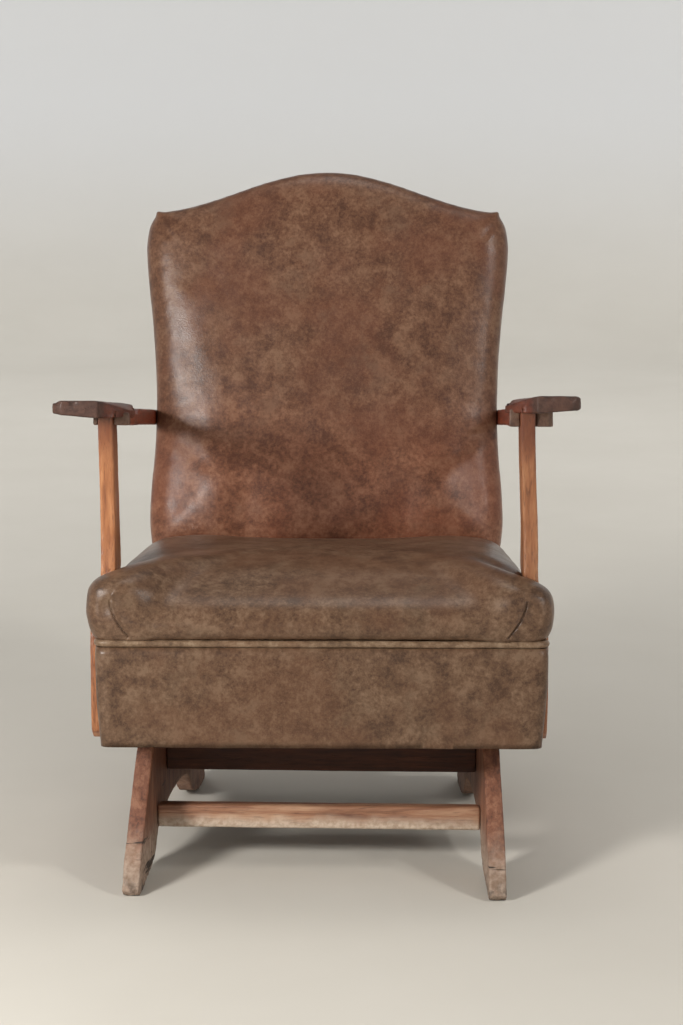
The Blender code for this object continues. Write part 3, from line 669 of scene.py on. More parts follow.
def back_large_forms(p, _normal):
    """Crown of the padding, pulled in where the arms meet it, full at the lower corners."""
    facing = ease(p.y, 0.030, -0.004)
    if facing <= 0:
        return None
    side = abs(p.x)
    crown = 0.006 * max(1 - (side / 0.245) ** 4, 0) * max(1 - (abs(p.z - 0.21) / 0.30) ** 2.6, 0)
    pulled = 0.005 * bell(p.z - ARM_LEVEL, 0.050) * ease(side, 0.185, 0.240)
    full = 0.012 * ease(p.z, 0.135, 0.060) * (1 - ease(side, 0.135, 0.240))
    corner = 0.004 * bell(side - 0.165, 0.045) * bell(p.z - 0.050, 0.045)
    beside = p.x + 0.112
    dent = 0.006 * bell(beside, 0.024 if beside < 0 else 0.070) * bell(p.z - 0.025, 0.050)
    return Vector((0.0, facing * (pulled + dent - crown - full - corner), 0.0))


def crease(place, start, end, width, depth, lip):
    """Depth of a crease at a place in 2-D: a soft groove from start to end, with a lip on one side."""
    line = end - start
    along = (place - start).dot(line) / line.length_squared
    away = place - (start + line * min(max(along, 0.0), 1.0))
    distance = away.length
    if distance > 4 * width:
        return 0.0
    side = 1.0 if line.x * away.y - line.y * away.x > 0 else -1.0
    fade = math.sin(math.pi * min(max(0.08 + 0.84 * along, 0.0), 1.0)) ** 0.6 if 0 <= along <= 1 else 0.25
    groove = -depth * bell(distance, width)
    raised = lip * bell(distance - 1.6 * width, width) if side > 0 else 0.0
    return fade * (groove + raised)


def back_creases():
    """Pull lines from where the arms draw the cover in, puckers by the seat and at the shoulders."""
    lines = []
    for sign in (LEFT, RIGHT):
        for x, z, to_x, to_z, *size in (
            (0.236, 0.158, 0.150, 0.075, 0.013, 0.0010, 0.0004),
            (0.238, 0.172, 0.185, 0.185, 0.011, 0.0006, 0.0003),
            (0.122, 0.065, 0.098, -0.020, 0.018, 0.0015, 0.0006),
            (0.236, 0.435, 0.220, 0.415, 0.005, 0.0008, 0.0004),
        ):
            lines.append((Vector((sign * x, z)), Vector((sign * to_x, to_z)), *size))
    return lines


def back_fine_forms(lines):
    corner = Vector((TUCK_X, crest_height(TUCK_X)))

    def shape(p, normal):
        facing = ease(p.y, 0.020, -0.002)
        move = Vector((0.0, 0.0, 0.0))
        if facing > 0:
            height = 0.0
            for line in lines:
                height += crease(Vector((p.x, p.z)), *line)
            height += 0.0009 * wavy(p.x * 16, 3.1, p.z * 16)
            height += 0.0004 * wavy(p.x * 45, 7.7, p.z * 45)
            move += normal * (height * facing)
        tuck = (Vector((abs(p.x), p.z)) - corner).length
        if tuck < 0.03:
            out = Vector((math.copysign(0.75, p.x), 0.0, 0.65))
            move += out * (0.0042 * bell(tuck, 0.0050) * ease(p.y, 0.075, 0.030))
        if p.y > 0.02:
            move += normal * 0.0006 * wavy(p.y * 30, math.copysign(5.0, p.x), p.z * 22)
        return move
    return shape


def make_back():
    rear = span(BACK, "back_stile_left", "back_stile_right")[1].y + 0.0008
    bm = bmesh.new()
    add_loft(bm, back_form(rear))
    stile_wraps(bm, rear)
    obj = add_object("back_upholstery", bm, BACK)
    remesh(obj, CUSHION_VOXEL)
    sculpt(obj, BACK, back_large_forms)

    def tacked(p):
        waist = bell(p.z - ARM_LEVEL, 0.018) * ease(abs(p.x), 0.222, 0.236)
        shoulder = ease(abs(p.x), 0.130, 0.200) * ease(p.z, 0.320, 0.400)
        return max(ease(p.y, 0.010, 0.030), waist, shoulder, ease(p.z, 0.0, -0.025))

    inflate(obj, BACK, tacked, 1.0, 0.0025)
    relax(obj, 6)
    subdivide(obj)
    sculpt(obj, BACK, back_fine_forms(back_creases()))
    ready(obj, back_vinyl, "chair", ["back_cushion"])


def make_back_panel():
    """The outside back: one stretched panel with a turned edge, set in from the outline."""
    low, high = span(BACK, "back_panel")
    set_in = 0.0045
    bottom = [Vector((0.2395, low.z + 0.002)), Vector((0.2395, low.z + 0.06)), Vector((0.2420, -0.060))]
    right = bottom + [p for p in back_outline() if p.x > 0.20 and p.y > -0.02]
    half = [Vector((p.x - set_in, p.y if p.y < 0.40 else p.y - set_in)) for p in right]
    across = [0.19 - 0.38 * i / 32 for i in range(33)]
    ring = half + [Vector((x, crest_height(x) - set_in)) for x in across] + mirrored(half)
    middle = Vector((0.0, 0.14))
    rings = [[(p.x, low.y, p.y) for p in ring]]
    face = high.y - 0.0012
    for inset, lift in ((0.0, -0.0008), (0.0006, 0.0002), (0.0018, 0.0010), (0.006, 0.0014), (0.012, 0.0003),
                        (0.020, 0.0006)):
        drawn = [p + (middle - p).normalized() * inset for p in ring]
        rings.append([(p.x, face + lift, p.y) for p in drawn])
    for k in range(1, 15):
        f = k / 15
        inward = 0.08 + 0.92 * f
        swell = 0.0030 * (1 - (1 - f) ** 2)
        rings.append([(lerp(p.x, middle.x, inward), face + 0.0008 + swell, lerp(p.y, middle.y, inward))
                      for p in ring])
    bm = bmesh.new()
    add_loft(bm, rings)
    obj = add_object("back_outside_panel", bm, BACK)

    def ripples(p, normal):
        edge = ease(abs(p.x), 0.15, 0.235)
        wave = wavy(p.x * 20, 1.3, p.z * 20) + 0.6 * edge * math.sin(p.z * 160)
        return normal * 0.0004 * wave

    sculpt(obj, BACK, ripples)
    ready(obj, back_vinyl, "chair", ["back_panel"])
    return min(p.y for p in ring), face


# Seat: cushion, welt and the band round the box


def measure_sides():
    """Outer faces of the side covers at their front and rear ends."""
    inverse = SEAT.inverted()
    points = [inverse @ v.co for v in frame["nodes"]["apron_side_right"].data.vertices]
    at_front = max(p.x for p in points if p.y < side_low.y + 0.002)
    at_rear = max(p.x for p in points if p.y > side_high.y - 0.002)
    return at_front, at_rear


band_low, band_high = span(SEAT, "apron_front")
side_low, side_high = span(SEAT, "apron_side_right")
cushion_low, cushion_high = span(SEAT, "seat_cushion")
SIDE_AT_FRONT, SIDE_AT_REAR = measure_sides()
BAND_TOP_HALF = 0.2790
BAND_LOW_HALF = 0.2722
WELT_DROP = 0.0058
# How far each front corner of the worn seat stands outside its true place
FRONT_SHIFT = {LEFT: -0.0017, RIGHT: 0.0058}
HORN_SHIFT = {LEFT: 0.0017, RIGHT: 0.0063}


def band_plan(half, front):
    """Right half of the band's plan from the rear end of the side to the middle of the front."""
    side = [(side_half_at(y), y) for y in (0.190, 0.0, -0.150)] + [(side_half_at(-0.200) + 0.0006, -0.200)]
    corner = [(half - 0.0030, -0.228), (half, front + 0.013), (half - 0.0035, front + 0.0038),
              (half - 0.013, front)]
    across = [(half - 0.045, front - 0.0002), (0.12, front - 0.0006), (0.0, front - 0.0008)]
    return smooth_path(side + corner + across, 10)


def side_half_at(y):
    return lerp(SIDE_AT_FRONT, SIDE_AT_REAR, (y - side_low.y) / (side_high.y - side_low.y))


def both_halves(sides):
    """Right half from the rear to the middle, then the left half back to the rear."""
    return sides[RIGHT] + sides[LEFT][-2::-1]


def resample(path, count):
    """This many points along the path, evenly spaced but for one more before the last."""
    points = divided(path, count - 2)
    points.insert(-1, (points[-1] + points[-2]) / 2)
    return points


def make_band():
    """One cover round the box: down from the welt, over the lower edge and tacked beneath."""
    top, low = band_high.z - WELT_DROP, band_low.z
    section = []
    for i in range(15):
        f = i / 14
        bulge = 0.0016 * math.sin(math.pi * f) - 0.0012 * bell(f, 0.05) - 0.0004
        section.append((1 - f, bulge))
    edge = [(-0.0012, -0.0006), (-0.0018, -0.0028), (-0.0006, -0.0048)]
    front = band_low.y + 0.0006
    step = 0.0045
    sides = {}
    for sign in (RIGHT, LEFT):
        feet = spaced(band_plan(BAND_LOW_HALF + FRONT_SHIFT[sign], front), step)
        heads = spaced(band_plan(BAND_TOP_HALF + FRONT_SHIFT[sign], front), step)
        count = min(len(feet), len(heads))
        pairs = zip(resample(feet, count), resample(heads, count))
        sides[sign] = [(Vector((sign * a.x, a.y)), Vector((sign * b.x, b.y))) for a, b in pairs]
    whole = both_halves(sides)
    middle_path = [lerp(a, b, 0.5) for a, b in whole]
    last = len(whole) - 1
    loft = []
    for k, (foot, head) in enumerate(whole):
        middle = middle_path[k]
        along = (middle_path[min(k + 1, last)] - middle_path[max(k - 1, 0)]).normalized()
        out = Vector((-along.y, along.x))
        outward = out.dot(middle) if abs(middle.x) > 0.2 else -out.y
        if outward < 0:
            out = -out
        wave = 0.0007 * wavy(k * 0.11, 2.0, 0.0)
        ring = []
        for f, push in section:
            flat = foot.lerp(head, f) + out * (push + 0.0007 * wavy(k * 0.06, f * 2.2, 4.0))
            ring.append((flat.x, flat.y, lerp(low + wave, top, f)))
        for drop, push in edge:
            flat = foot + out * push
            ring.append((flat.x, flat.y, low + wave + drop + 0.0014))
        for end, thick, z in ((foot, 0.0050, low + 0.0022), (head, 0.0046, top - 0.0004)):
            inner = end - out * thick
            ring.append((inner.x, inner.y, z))
        loft.append(ring)
    bm = bmesh.new()
    add_loft(bm, loft)
    obj = add_object("seat_band", bm, SEAT)
    ready(obj, seat_vinyl, "chair", ["apron_front", "apron_side_left", "apron_side_right"])


def make_welt():
    """The piped cord between band and cushion, a little uneven where it was sewn."""
    low, high = span(SEAT, "seat_welt")
    radius = (high.z - low.z) / 2
    centre = (high.z + low.z) / 2 - WELT_DROP
    sides = {}
    for sign in (RIGHT, LEFT):
        plan = band_plan(BAND_TOP_HALF + FRONT_SHIFT[sign] - 0.0036, band_low.y + 0.0040)
        plan = [p for p in spaced(plan, 0.004) if p.y < 0.155 or p.x < 0.2]
        sides[sign] = [Vector((sign * p.x, p.y)) for p in plan]
    whole = both_halves(sides)
    path = []
    for k, p in enumerate(whole):
        inward = 0.0042 * ease(p.y, -0.205, -0.180)
        lift = 0.0006 * wavy(k * 0.035, 9.0, 0.0)
        path.append(Vector((p.x - math.copysign(inward, p.x), p.y, centre + lift)))

    def girth(f):
        return radius * (1 + 0.05 * wavy(f * 90, 0.5, 0.0))

    bm = bmesh.new()
    add_tube(bm, path, girth, 14)
    obj = add_object("seat_piping", bm, SEAT)
    ready(obj, welt_vinyl_painted_highlight, "chair", ["seat_welt"])


def cushion_half(sign):
    """Plan of one half of the seat cushion: its horn in front of the post, narrower behind it."""
    front = cushion_low.y - 0.001
    horn = cushion_high.x + 0.0035 + HORN_SHIFT[sign]
    across = [(0.0, front - 0.0005), (0.120, front), (0.215, front + 0.001), (horn - 0.022, front + 0.004)]
    corner = [(horn - 0.005, front + 0.016), (horn, front + 0.034), (horn - 0.003, front + 0.050),
              (0.2690, front + 0.066), (0.2632, front + 0.084), (0.2618, front + 0.130)]
    side = [(0.2600, -0.060), (0.2500, 0.080), (0.2420, 0.150), (0.232, 0.172), (0.200, 0.180), (0.0, 0.181)]
    return [Vector((sign * p.x, p.y)) for p in smooth_path(across + corner + side, 5)]


# The cushion's cross-section: how square its shoulders are in front and at the sides
FRONT_POWER = 2.6
SIDE_POWER = 8.0
HORN_POWER = {LEFT: 6.4, RIGHT: 3.9}
FRONT_WAIST = 0.018
SIDE_WAIST = 0.034
SEAT_MIDDLE = Vector((0.0, 0.030))
SEAT_TOP = 0.1575
# Under the waist: part of the way up, draw-in and narrowing of the cushion's lower rings
CUSHION_FOOT = ((0.0, 0.0065, 0.976), (0.18, 0.0040, 0.983), (0.44, 0.0018, 0.991), (0.79, 0.0004, 0.998))


def make_cushion():
    outline = cushion_half(RIGHT) + cushion_half(LEFT)[-2:0:-1]
    low, high = cushion_low.z - WELT_DROP - 0.0005, SEAT_TOP
    waists = [low + lerp(FRONT_WAIST, SIDE_WAIST, ease(abs(p.x), 0.200, 0.255)) for p in outline]
    rings = []
    for f, inset, narrow in CUSHION_FOOT:
        ring = []
        for p, waist in zip(outline, waists):
            q = p - (p - SEAT_MIDDLE).normalized() * inset
            corner = ease(abs(p.x), 0.19, 0.27) * ease(p.y, -0.18, -0.23)
            ring.append((q.x * narrow, q.y, lerp(low, waist, f) - 0.0045 * corner * (1 - f)))
        rings.append(ring)
    steps = 14
    for i in range(steps):
        angle = math.pi / 2 * i / steps
        ring = []
        for p, waist in zip(outline, waists):
            horn = HORN_POWER[RIGHT if p.x > 0 else LEFT]
            power = lerp(SIDE_POWER, horn, ease(p.y, -0.140, -0.195))
            power = lerp(FRONT_POWER, power, ease(abs(p.x), 0.205, 0.255))
            q = SEAT_MIDDLE + (p - SEAT_MIDDLE) * math.cos(angle) ** (2 / power)
            ring.append((q.x, q.y, waist + (high - waist) * math.sin(angle) ** (2 / power)))
        rings.append(ring)
    bm = bmesh.new()
    add_loft(bm, rings)
    obj = add_object("seat_upholstery", bm, SEAT)
    remesh(obj, CUSHION_VOXEL)

    def tacked(p):
        return max(ease(p.z, low + SIDE_WAIST, low + 0.004), ease(p.y, 0.120, 0.160))

    inflate(obj, SEAT, tacked, 2.5, 0.006)
    relax(obj, 4)
    subdivide(obj)
    carve_pleats(obj)
    ready(obj, seat_vinyl, "chair", ["seat_cushion"])


# The fold at a front corner, from the roll's edge down and inwards to the welt, as (x, height)
PLEAT = ((0.2560, 0.1240), (0.2545, 0.1130), (0.2490, 0.1000), (0.2415, 0.0880), (0.2330, 0.0770))


def pleat_paths(obj):
    """The fold at each front corner, laid on the cushion's surface."""
    inverse = SEAT.inverted()
    tree = BVHTree.FromPolygons([inverse @ v.co for v in obj.data.vertices],
                                [p.vertices for p in obj.data.polygons])
    paths = {}
    for sign in (LEFT, RIGHT):
        starts = [Vector((sign * p.x, -0.5, p.y)) for p in smooth_path(PLEAT, 8)]
        hits = [tree.ray_cast(start, Vector((0, 1, 0)))[0] for start in starts]
        paths[sign] = [hit for hit in hits if hit is not None]
    return paths


def near_path(point, path):
    """Distance to the path, the part along it from 0 to 1, and the nearest point."""
    distance, i = min(((point - p).length, i) for i, p in enumerate(path))
    return distance, i / (len(path) - 1), path[i]


def carve_pleats(obj):
    paths = pleat_paths(obj)
    inverse = SEAT.inverted()
    mesh = obj.data
    bm = bmesh.new()
    bm.from_mesh(mesh)
    bm.transform(inverse)
    for reach in (0.014, 0.0105):
        edges = []
        for edge in bm.edges:
            centre = (edge.verts[0].co + edge.verts[1].co) / 2
            if centre.y > -0.2 or abs(centre.x) < 0.2:
                continue
            path = paths[RIGHT if centre.x > 0 else LEFT]
            if near_path(centre, path)[0] < reach:
                edges.append(edge)
        bmesh.ops.subdivide_edges(bm, edges=edges, cuts=1, use_grid_fill=True)
    bm.normal_update()
    moves = []
    for vertex in bm.verts:
        p = vertex.co
        if p.y > -0.17 or abs(p.x) < 0.18 or p.z < 0.070:
            continue
        sign = RIGHT if p.x > 0 else LEFT
        distance, part, nearest = near_path(p, paths[sign])
        if distance > 0.045:
            continue
        outside = (p.x - nearest.x) * sign + (p.z - nearest.z) * 0.5
        step = distance * (1.0 if outside > 0 else -1.0)
        fold = -0.0022 * bell(step - 0.0006, 0.0010)
        lip = 0.0009 * bell(step + 0.0022, 0.0022)
        hollow = -0.0010 * bell(step - 0.012, 0.010)
        full = 0.0010 * bell(step + 0.016, 0.012)
        height = (fold + lip) * ease(part, 0.0, 0.10) + (hollow + full) * ease(part, -0.2, 0.25)
        moves.append((vertex, vertex.normal * height))
    for vertex, move in moves:
        vertex.co += move
    bm.transform(SEAT)
    bm.to_mesh(mesh)
    bm.free()
    mesh.shade_smooth()


# Wooden pieces


BOARD_VOXEL = 0.0021


def carved(name, bm, axes, voxel, shape, smooth):
    """A solid board turned into a dense mesh, its edges rubbed round, then worn by a shape."""
    obj = add_object(name, bm)
    remesh(obj, voxel)
    relax(obj, smooth)
    obj.data.transform(axes)
    obj.data.update()
    sculpt(obj, axes, shape)
    return obj


def hand_worn(seed, amount=0.0004):
    def shape(p, normal):
        wave = wavy(p.x * 22 + seed, p.y * 22, p.z * 22)
        fine = wavy(p.x * 90, p.y * 90 + seed, p.z * 90)
        return normal * (amount * wave + 0.35 * amount * fine)
    return shape


def side_outline():
    """Side view of a base board about its middle: sloping ends, flat top, low arch between the feet."""
    half = 0.2575
    front = smooth_path([(-half, 0.008), (-0.2535, 0.016), (-0.238, 0.045), (-0.198, 0.095), (-0.141, 0.163),
                         (-0.103, 0.215)], 8)
    arch = [(0.0, 0.063), (-0.057, 0.060), (-0.103, 0.051), (-0.124, 0.037), (-0.150, 0.014), (-0.226, 0.0)]
    rear_arch = smooth_path([(0.199 if x < -0.2 else -x, z) for x, z in reversed(arch)], 6)
    front_toe, rear_toe = Vector((-half + 0.006, 0.0)), Vector((half - 0.006, 0.0))
    return front + mirrored(front) + [rear_toe] + rear_arch + smooth_path(arch, 6)[1:] + [front_toe]


# The worn base stands turned a little against the seat, its right side a little out
BASE_TURN = Matrix.Rotation(math.radians(-1.3), 4, "Z")
BASE_OUT = 0.0040
SIDE_HALF_THICK = 0.011


def make_base_side(sign):
    low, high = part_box("base_side_" + hand(sign))
    middle = (low + high) / 2
    out = BASE_OUT if sign == RIGHT else 0.0
    place = Matrix.Translation((middle.x + out, middle.y, 0.0))
    axes = BASE_TURN @ place @ Matrix.Rotation(sign * TOE_IN, 4, "Z")
    bm = bmesh.new()
    add_loft(bm, [[(x, p.x, p.y) for p in side_outline()] for x in (-SIDE_HALF_THICK, SIDE_HALF_THICK)])
    wear = hand_worn(3.0 * sign, 0.0005)

    def shape(p, normal):
        move = wear(p, normal)
        foot = ease(p.z, 0.045, 0.004)
        chip = wavy(p.x * 130, p.y * 130, p.z * 130 + sign)
        if foot > 0:
            move -= normal * (0.0016 * foot * max(chip, 0.0))
        if p.z < 0.002:
            move.z = max(move.z, 0.0)
        return move

    obj = carved("base_board_" + hand(sign), bm, axes, BOARD_VOXEL, shape, 4)
    for vertex in obj.data.vertices:
        vertex.co.z = max(vertex.co.z, 0.0)
    ready(obj, side_wood, "base", ["base_side_" + hand(sign)])


def beam(name, node, material, seed):
    """A base crosspiece built again from its CAD node, with rubbed edges and a slightly uneven face."""
    source = frame["nodes"][node]
    bm = bmesh.new()
    bm.from_mesh(source.data)
    wear = hand_worn(seed)

    def shape(p, normal):
        return wear(p, normal) + Vector((BASE_OUT * ease(p.x, 0.0, 0.10), 0.0, 0.0))

    obj = carved(name, bm, BASE_TURN, 0.0022, shape, 3)
    ready(obj, material, "base", [node])


def paddle_plan(sign):
    """Outline from above as (half-width, rearwards), closed; the worn arms differ a little."""
    outer = smooth_path([(0.3090, 0.0000), (0.3185, 0.0080), (0.3198, 0.0250), (0.3170, 0.0700),
                         (0.3060, 0.1300), (0.2920, 0.1900), (0.2790, 0.2400)], 8)
    rear = [Vector((0.2690, 0.2540)), Vector((0.2560, 0.2560))]
    inner = smooth_path([(0.2460, 0.2460), (0.2390, 0.1900), (0.2300, 0.1150), (0.2350, 0.0620),
                         (0.2630, 0.0000)], 8)
    out = Vector((PADDLE_OUT[sign], 0.0))
    trim = Vector((PADDLE_OUT[sign] + INNER_TRIM[sign], 0.0))
    return [p + out for p in outer + rear] + [p + trim for p in inner]


def rail_plan(sign):
    """Outline from above of the rail with the slot for the post's top, closed."""
    lean, out = POST_LEAN[sign], RAIL_OUT[sign]
    slot = ((0.2542, 0.0560), (0.2542, 0.1055), (0.2738, 0.1055), (0.2738, 0.0560))
    rail = [Vector((x - lean, y)) for x, y in slot]
    rail += [Vector((x + out, y)) for x, y in ((0.2800, 0.0560), (0.2855, 0.0610), (0.2865, 0.0740))]
    rail += smooth_path([(0.2850 + out, 0.1200), (0.2760, 0.2400), (0.2680, 0.3600), (0.2640, 0.5550)], 8)
    rail += smooth_path([(0.2425, 0.5550), (0.2425, 0.4200), (0.2410, 0.2400), (0.2385, 0.1500),
                         (0.2370, 0.0900)], 8)
    rail.append(Vector((0.2350, 0.0560)))
    return rail


LIP_DROP = 0.0070
LIP_DEPTH = 0.0250
# How far the arms of the worn chair sit from their true places: paddles, rails, and the posts' tops
PADDLE_SAG = {LEFT: -0.0054, RIGHT: 0.0018}
RAIL_SAG = {LEFT: -0.0012, RIGHT: -0.0004}
PADDLE_OUT = {LEFT: 0.0042, RIGHT: -0.0005}
INNER_TRIM = {LEFT: 0.0, RIGHT: 0.0035}
RAIL_OUT = {LEFT: -0.0055, RIGHT: 0.0036}
POST_LEAN = {LEFT: 0.0, RIGHT: 0.0062}


def lowered(axes, sag):
    return Matrix.Translation((0.0, 0.0, sag)) @ axes


def make_paddle(sign):
    low, high = span(ARMS, "arm_paddle_" + hand(sign))
    plan = paddle_plan(sign)
    bm = bmesh.new()
    add_loft(bm, [[(sign * p.x, p.y, z) for p in plan] for z in (low.z + LIP_DROP, high.z)])
    outer_lip = [p for p in plan if p.x > 0.30 and p.y <= LIP_DEPTH]
    inner_lip = [p for p in plan if p.x < 0.29 and p.y <= 0.165 and (p.x < 0.25 or p.y < LIP_DEPTH + 0.01)]
    inside = [Vector((0.2500, LIP_DEPTH)), Vector((0.2500, 0.0450)), Vector((0.2440, 0.0520)),
              Vector((0.2440, 0.1650))]
    lip = outer_lip + inside + inner_lip
    add_loft(bm, [[(sign * p.x, p.y, z) for p in lip] for z in (low.z, low.z + LIP_DROP + 0.003)])
    wear = hand_worn(11.0 * sign, 0.0006)
    nicks = {LEFT: [(0.3190, 0.004), (0.300, 0.000)], RIGHT: [(0.2800, 0.000), (0.3070, 0.001)]}[sign]

    def shape(p, normal):
        move = wear(p, normal)
        side = abs(p.x)
        top = ease(p.z, -0.002, 0.009)
        inward = min(max((0.272 - side) / 0.040, 0.0), 1.1)
        drop = 0.0128 * inward**1.5 * (1 - 0.5 * ease(p.y, 0.15, 0.25))
        move.z -= drop * top
        tail = ease(p.y, 0.115, 0.165)
        if p.z < 0:
            move.z += (LIP_DROP + 0.002) * tail * ease(p.z, -0.0035, -0.0060)
        move.z += (1 - top) * lerp(-0.0010, 0.0026, ease(side, 0.262, 0.316)) * ease(p.y, 0.060, 0.030)
        blunt = ease(side, 0.312, 0.321) ** 2
        move.z += blunt * lerp(0.0020, -0.0030, top)
        if p.y < 0.012 and p.z > 0.0:
            for x, y in nicks:
                away = (Vector((side, p.y)) - Vector((x, y))).length
                rough = 1 + 0.6 * wavy(p.x * 160, p.y * 160, p.z * 160)
                move -= normal * (0.0030 * bell(away, 0.0050) * rough * ease(p.z, 0.001, 0.008))
        end = ease(side, 0.308, 0.318) * ease(p.y, 0.03, 0.005)
        move -= normal * 0.0020 * end * max(wavy(p.x * 160, p.y * 160, p.z * 160), 0.0)
        return move

    obj = carved("arm_rest_" + hand(sign), bm, lowered(ARMS, PADDLE_SAG[sign]), 0.0019, shape, 5)
    ready(obj, arm_wood, "chair", ["arm_paddle_" + hand(sign)])


def make_arm_rail(sign):
    low, high = span(ARMS, "arm_rail_" + hand(sign))
    bm = bmesh.new()
    add_loft(bm, [[(sign * p.x, p.y, z) for p in rail_plan(sign)] for z in (low.z, high.z)])
    wear = hand_worn(5.0 * sign, 0.0004)
    sunk = max(RAIL_SAG[sign] - PADDLE_SAG[sign], 0.0)

    def shape(p, normal):
        move = wear(p, normal)
        upper = ease(p.z, (low.z + high.z) / 2, high.z)
        tail = ease(p.y, 0.235, 0.265)
        move.z += upper * lerp(-sunk, 0.0020, tail) + (1 - upper) * 0.0006 * tail
        if sign == RIGHT:
            move.z -= (1 - upper) * 0.0016 * ease(p.y, 0.25, 0.06)
        return move

    obj = carved("arm_support_" + hand(sign), bm, lowered(ARMS, RAIL_SAG[sign]), BOARD_VOXEL, shape, 3)
    ready(obj, rail_wood, "chair", ["arm_rail_" + hand(sign)])


def post_outer(z):
    """Half-width over the posts at height z: upright above, spread outside the seat box below."""
    return lerp(0.2869, 0.2735, ease(z, 0.327, 0.405))


POST_THICK = 0.019


def make_post(sign):
    """An arm post: a curved board outside the seat box, under the arm rail."""
    node = "arm_post_" + hand(sign)
    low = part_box(node)[0]
    depth_zero = low.y - 0.054
    points = [v.co for v in frame["nodes"][node].data.vertices]
    top_front = max(p.z for p in points if p.y < depth_zero + 0.080)
    top_rear = max(p.z for p in points if p.y > depth_zero + 0.112)
    foot = low.z + 0.012
    front = smooth_path([(0.056, foot), (0.054, 0.240), (0.058, 0.300), (0.066, 0.345), (0.074, 0.390),
                         (0.082, 0.460), (0.079, 0.530), (0.070, top_front)], 8)
    rear = smooth_path([(0.146, foot), (0.152, 0.240), (0.152, 0.300), (0.149, 0.345), (0.144, 0.390),
                        (0.136, 0.460), (0.128, 0.530), (0.122, top_rear)], 8)
    rings = []
    for a, b in [(Vector((0.070, low.z)), Vector((0.134, low.z))), *zip(front, rear)]:
        corners = ((a, 0.0), (a, POST_THICK), (b, POST_THICK), (b, 0.0))
        rings.append([(sign * (post_outer(p.y) - inset), depth_zero + p.x, p.y) for p, inset in corners])
    bm = bmesh.new()
    add_loft(bm, rings)
    wear = hand_worn(7.0 * sign, 0.0004)

    def shape(p, normal):
        move = wear(p, normal)
        move.x -= POST_LEAN[sign] * ease(p.z, 0.42, 0.60)
        move.z += PADDLE_SAG[sign] * ease(p.z, 0.54, 0.59)
        return move

    obj = carved("arm_upright_" + hand(sign), bm, Matrix.Identity(4), BOARD_VOXEL, shape, 4)
    ready(obj, post_wood, "chair", [node])


# Springs: coils between the plates, built straight


def make_spring(side, end):
    node = f"rocker_spring_{side}_{end}"
    low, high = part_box(node)
    wire = 0.0028
    radius = (high.x - low.x) / 2 - wire
    centre = (low + high) / 2
    turns = 4.0
    steps = 32
    count = int(turns * steps)
    path = []
    for i in range(count + 1):
        turn = math.tau * i / steps
        rise = (high.z - low.z - 2 * wire) * ease_ends(i / count)
        flat = (centre.x + radius * math.cos(turn), centre.y + radius * math.sin(turn))
        path.append(Vector((*flat, low.z + wire + rise)))
    bm = bmesh.new()
    add_tube(bm, path, wire, 12)
    obj = add_object(f"coil_spring_{side}_{end}", bm)
    ready(obj, spring_steel, None, [node])
    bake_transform(obj)


def ease_ends(part):
    """Closed end turns: the coil climbs slowly over its first and last turn."""
    slow = 0.12
    return (1 - slow) * part + slow * part * part * (3 - 2 * part)


# Tacks that hold the outside back and the underside of the band


TACK_HEIGHT = 0.0012


def add_tack(bm, place, normal, radius):
    side = normal.orthogonal().normalized()
    other = normal.cross(side)
    rings = []
    for f in (0.0, 0.35, 0.70, 0.92):
        lift = TACK_HEIGHT * math.sin(f * math.pi / 2)
        rings.append(circle(place + normal * lift, radius * math.cos(f * math.pi / 2), side, other, 10))
    add_loft(bm, rings)


def make_tacks(name, axes, half, place, normal, radius, count):
    """A row of tacks from -half to half across the chair, at the height and depth of the place."""
    bm = bmesh.new()
    for i in range(count):
        x = lerp(-half, half, i / (count - 1))
        add_tack(bm, Vector((x, *place)), Vector(normal), radius)
    obj = add_object(name, bm, axes)
    ready(obj, spring_steel, "chair")


# Carried-over CAD nodes


FRAME_LOOKS = (
    (("lower_", "upper_"), spring_steel),
    (("bumper",), black_rubber),
    (("seat_strap", "back_strap"), webbing),
    (("seat_deck",), burlap),
    (("post_plug",), post_wood),
    (("seat_rail_left", "seat_rail_right", "seat_rail_rear"), seat_vinyl),
    (("back_stile",), back_vinyl),
    (("seat_rail_front", "back_rail"), frame_wood["X"]),
    (("seat_bearer",), frame_wood["Y"]),
)


def dress_frame():
    """Better materials for the nodes that stay as they are; the outer rails and stiles wear the covers."""
    for name, obj in frame["nodes"].items():
        for starts, material in FRAME_LOOKS:
            if name.startswith(starts):
                obj.data.materials.clear()
                obj.data.materials.append(material)


# Stage, light and camera


FLOOR_RADIUS = 5.0
SWEEP = 2.5
WALL_TOP = 5.0


def make_stage():
    """A round pale floor whose rim sweeps up into a wall all round, far outside the camera."""
    profile = [(0.01, 0.0), (2.0, 0.0), (FLOOR_RADIUS, 0.0)]
    for i in range(1, 13):
        angle = math.pi / 2 * i / 12
        profile.append((FLOOR_RADIUS + SWEEP * math.sin(angle), SWEEP * (1 - math.cos(angle))))
    profile.append((FLOOR_RADIUS + SWEEP, WALL_TOP))
    bm = bmesh.new()
    angles = [math.tau * k / 96 for k in range(96)]
    rings = []
    for radius, height in profile:
        rings.append([(radius * math.cos(a), radius * math.sin(a), height) for a in angles])
    loops = add_loft(bm, rings, capped=False)
    bm.faces.new(loops[0])
    obj = add_object("studio_floor", bm)
    obj.data.materials.append(floor_material())


def area_light(name, place, aim, size, power, colour=(1.0, 1.0, 1.0)):
    data = bpy.data.lights.new(name, "AREA")
    data.shape = "DISK"
    data.size = size
    data.energy = power
    data.color = colour
    obj = bpy.data.objects.new(name, data)
    obj.location = place
    obj.rotation_euler = (Vector(aim) - Vector(place)).to_track_quat("-Z", "Y").to_euler()
    bpy.context.scene.collection.objects.link(obj)


WARM = (1.0, 0.975, 0.94)
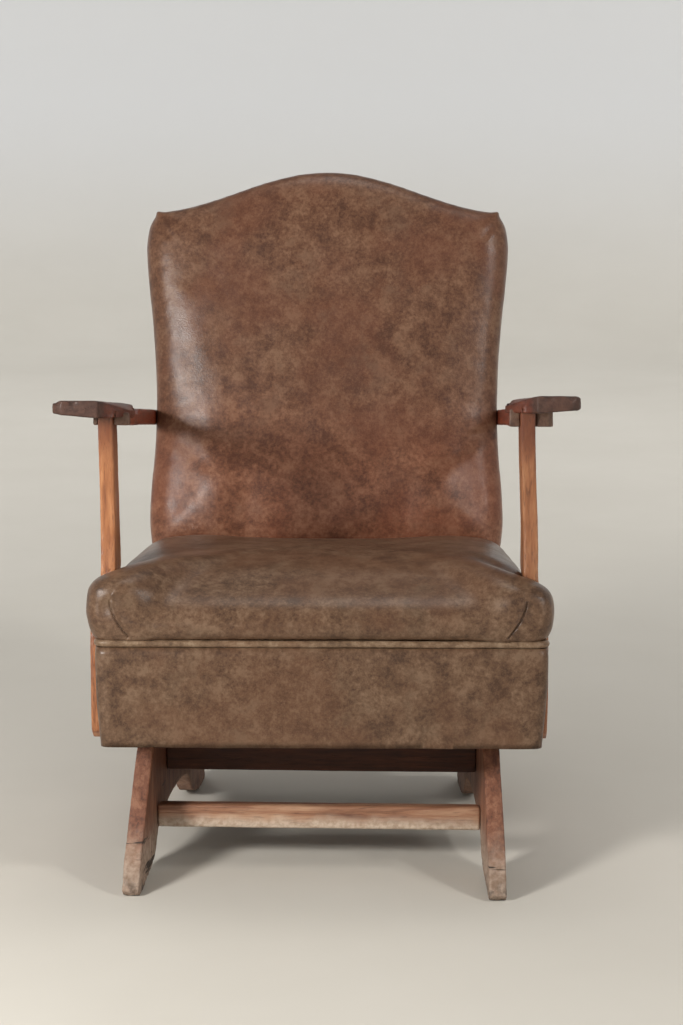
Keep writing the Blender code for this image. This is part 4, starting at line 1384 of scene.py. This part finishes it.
# Name, place, size and power of the lights on the chair
CHAIR_LIGHTS = (
    ("left_light", (-1.38, -1.66, 1.12), 0.46, 42.0),
    ("right_light", (2.15, -1.65, 2.20), 0.30, 22.0),
    ("right_low_light", (2.15, -1.65, 1.30), 0.36, 9.0),
    ("top_light", (0.1, 0.35, 3.0), 1.2, 13.0),
)
# Four lights above the chair are turned outwards to the wall
WALL_LIGHT_RADIUS = 2.6
WALL_LIGHT_HEIGHT = 4.4
WALL_LIGHT_AIM = 1.4
WALL_LIGHT_SIZE = 1.5
REAR_WALL_POWER = 185.0
FRONT_WALL_POWER = 85.0


def make_light():
    world = bpy.data.worlds.new("studio")
    world.use_nodes = True
    background = world.node_tree.nodes["Background"]
    background.inputs["Color"].default_value = (1.0, 0.99, 0.97, 1.0)
    background.inputs["Strength"].default_value = 0.20
    bpy.context.scene.world = world
    for name, place, size, power in CHAIR_LIGHTS:
        area_light(name, place, (0.0, 0.0, 0.42), size, power, WARM)
    for k in range(4):
        angle = math.tau * (k + 0.5) / 4
        out = Vector((math.cos(angle), math.sin(angle), 0.0))
        place = out * WALL_LIGHT_RADIUS + Vector((0, 0, WALL_LIGHT_HEIGHT))
        aim = out * (FLOOR_RADIUS + SWEEP) + Vector((0, 0, WALL_LIGHT_AIM))
        power = REAR_WALL_POWER if out.y > 0 else FRONT_WALL_POWER
        area_light(f"wall_light_{k + 1}", place, aim, WALL_LIGHT_SIZE, power)
    bpy.context.scene.view_settings.view_transform = "Standard"


def make_camera():
    data = bpy.data.cameras.new("camera")
    data.lens = 83.98
    data.sensor_width = 36.0
    obj = bpy.data.objects.new("camera", data)
    obj.location = (0.073, -3.186, 1.037)
    obj.rotation_euler = (math.radians(79.19), 0.0, math.radians(0.885))
    bpy.context.scene.collection.objects.link(obj)
    bpy.context.scene.camera = obj


def main():
    make_camera()
    make_light()
    make_stage()
    dress_frame()
    make_back()
    foot, face = make_back_panel()
    make_tacks("back_panel_tacks", BACK, 0.225, (face + 0.0012, foot + 0.012), (0, 1, 0), 0.0032, 17)
    under_band = (band_low.y + 0.013, band_low.z - 0.0002 + 0.0025)
    make_tacks("seat_band_tacks", SEAT, 0.255, under_band, (0, 0, -1), 0.0028, 19)
    make_cushion()
    make_band()
    make_welt()
    for sign in (LEFT, RIGHT):
        make_base_side(sign)
        make_paddle(sign)
        make_arm_rail(sign)
        make_post(sign)
        for end in ("front", "rear"):
            make_spring(hand(sign), end)
    for end in ("front", "rear"):
        beam("stretcher_" + end, "base_stretcher_" + end, stretcher_wood, 2.0)
        beam("cross_rail_" + end, "base_rail_" + end, cross_rail_painted_shade_wood, 4.0)


main()
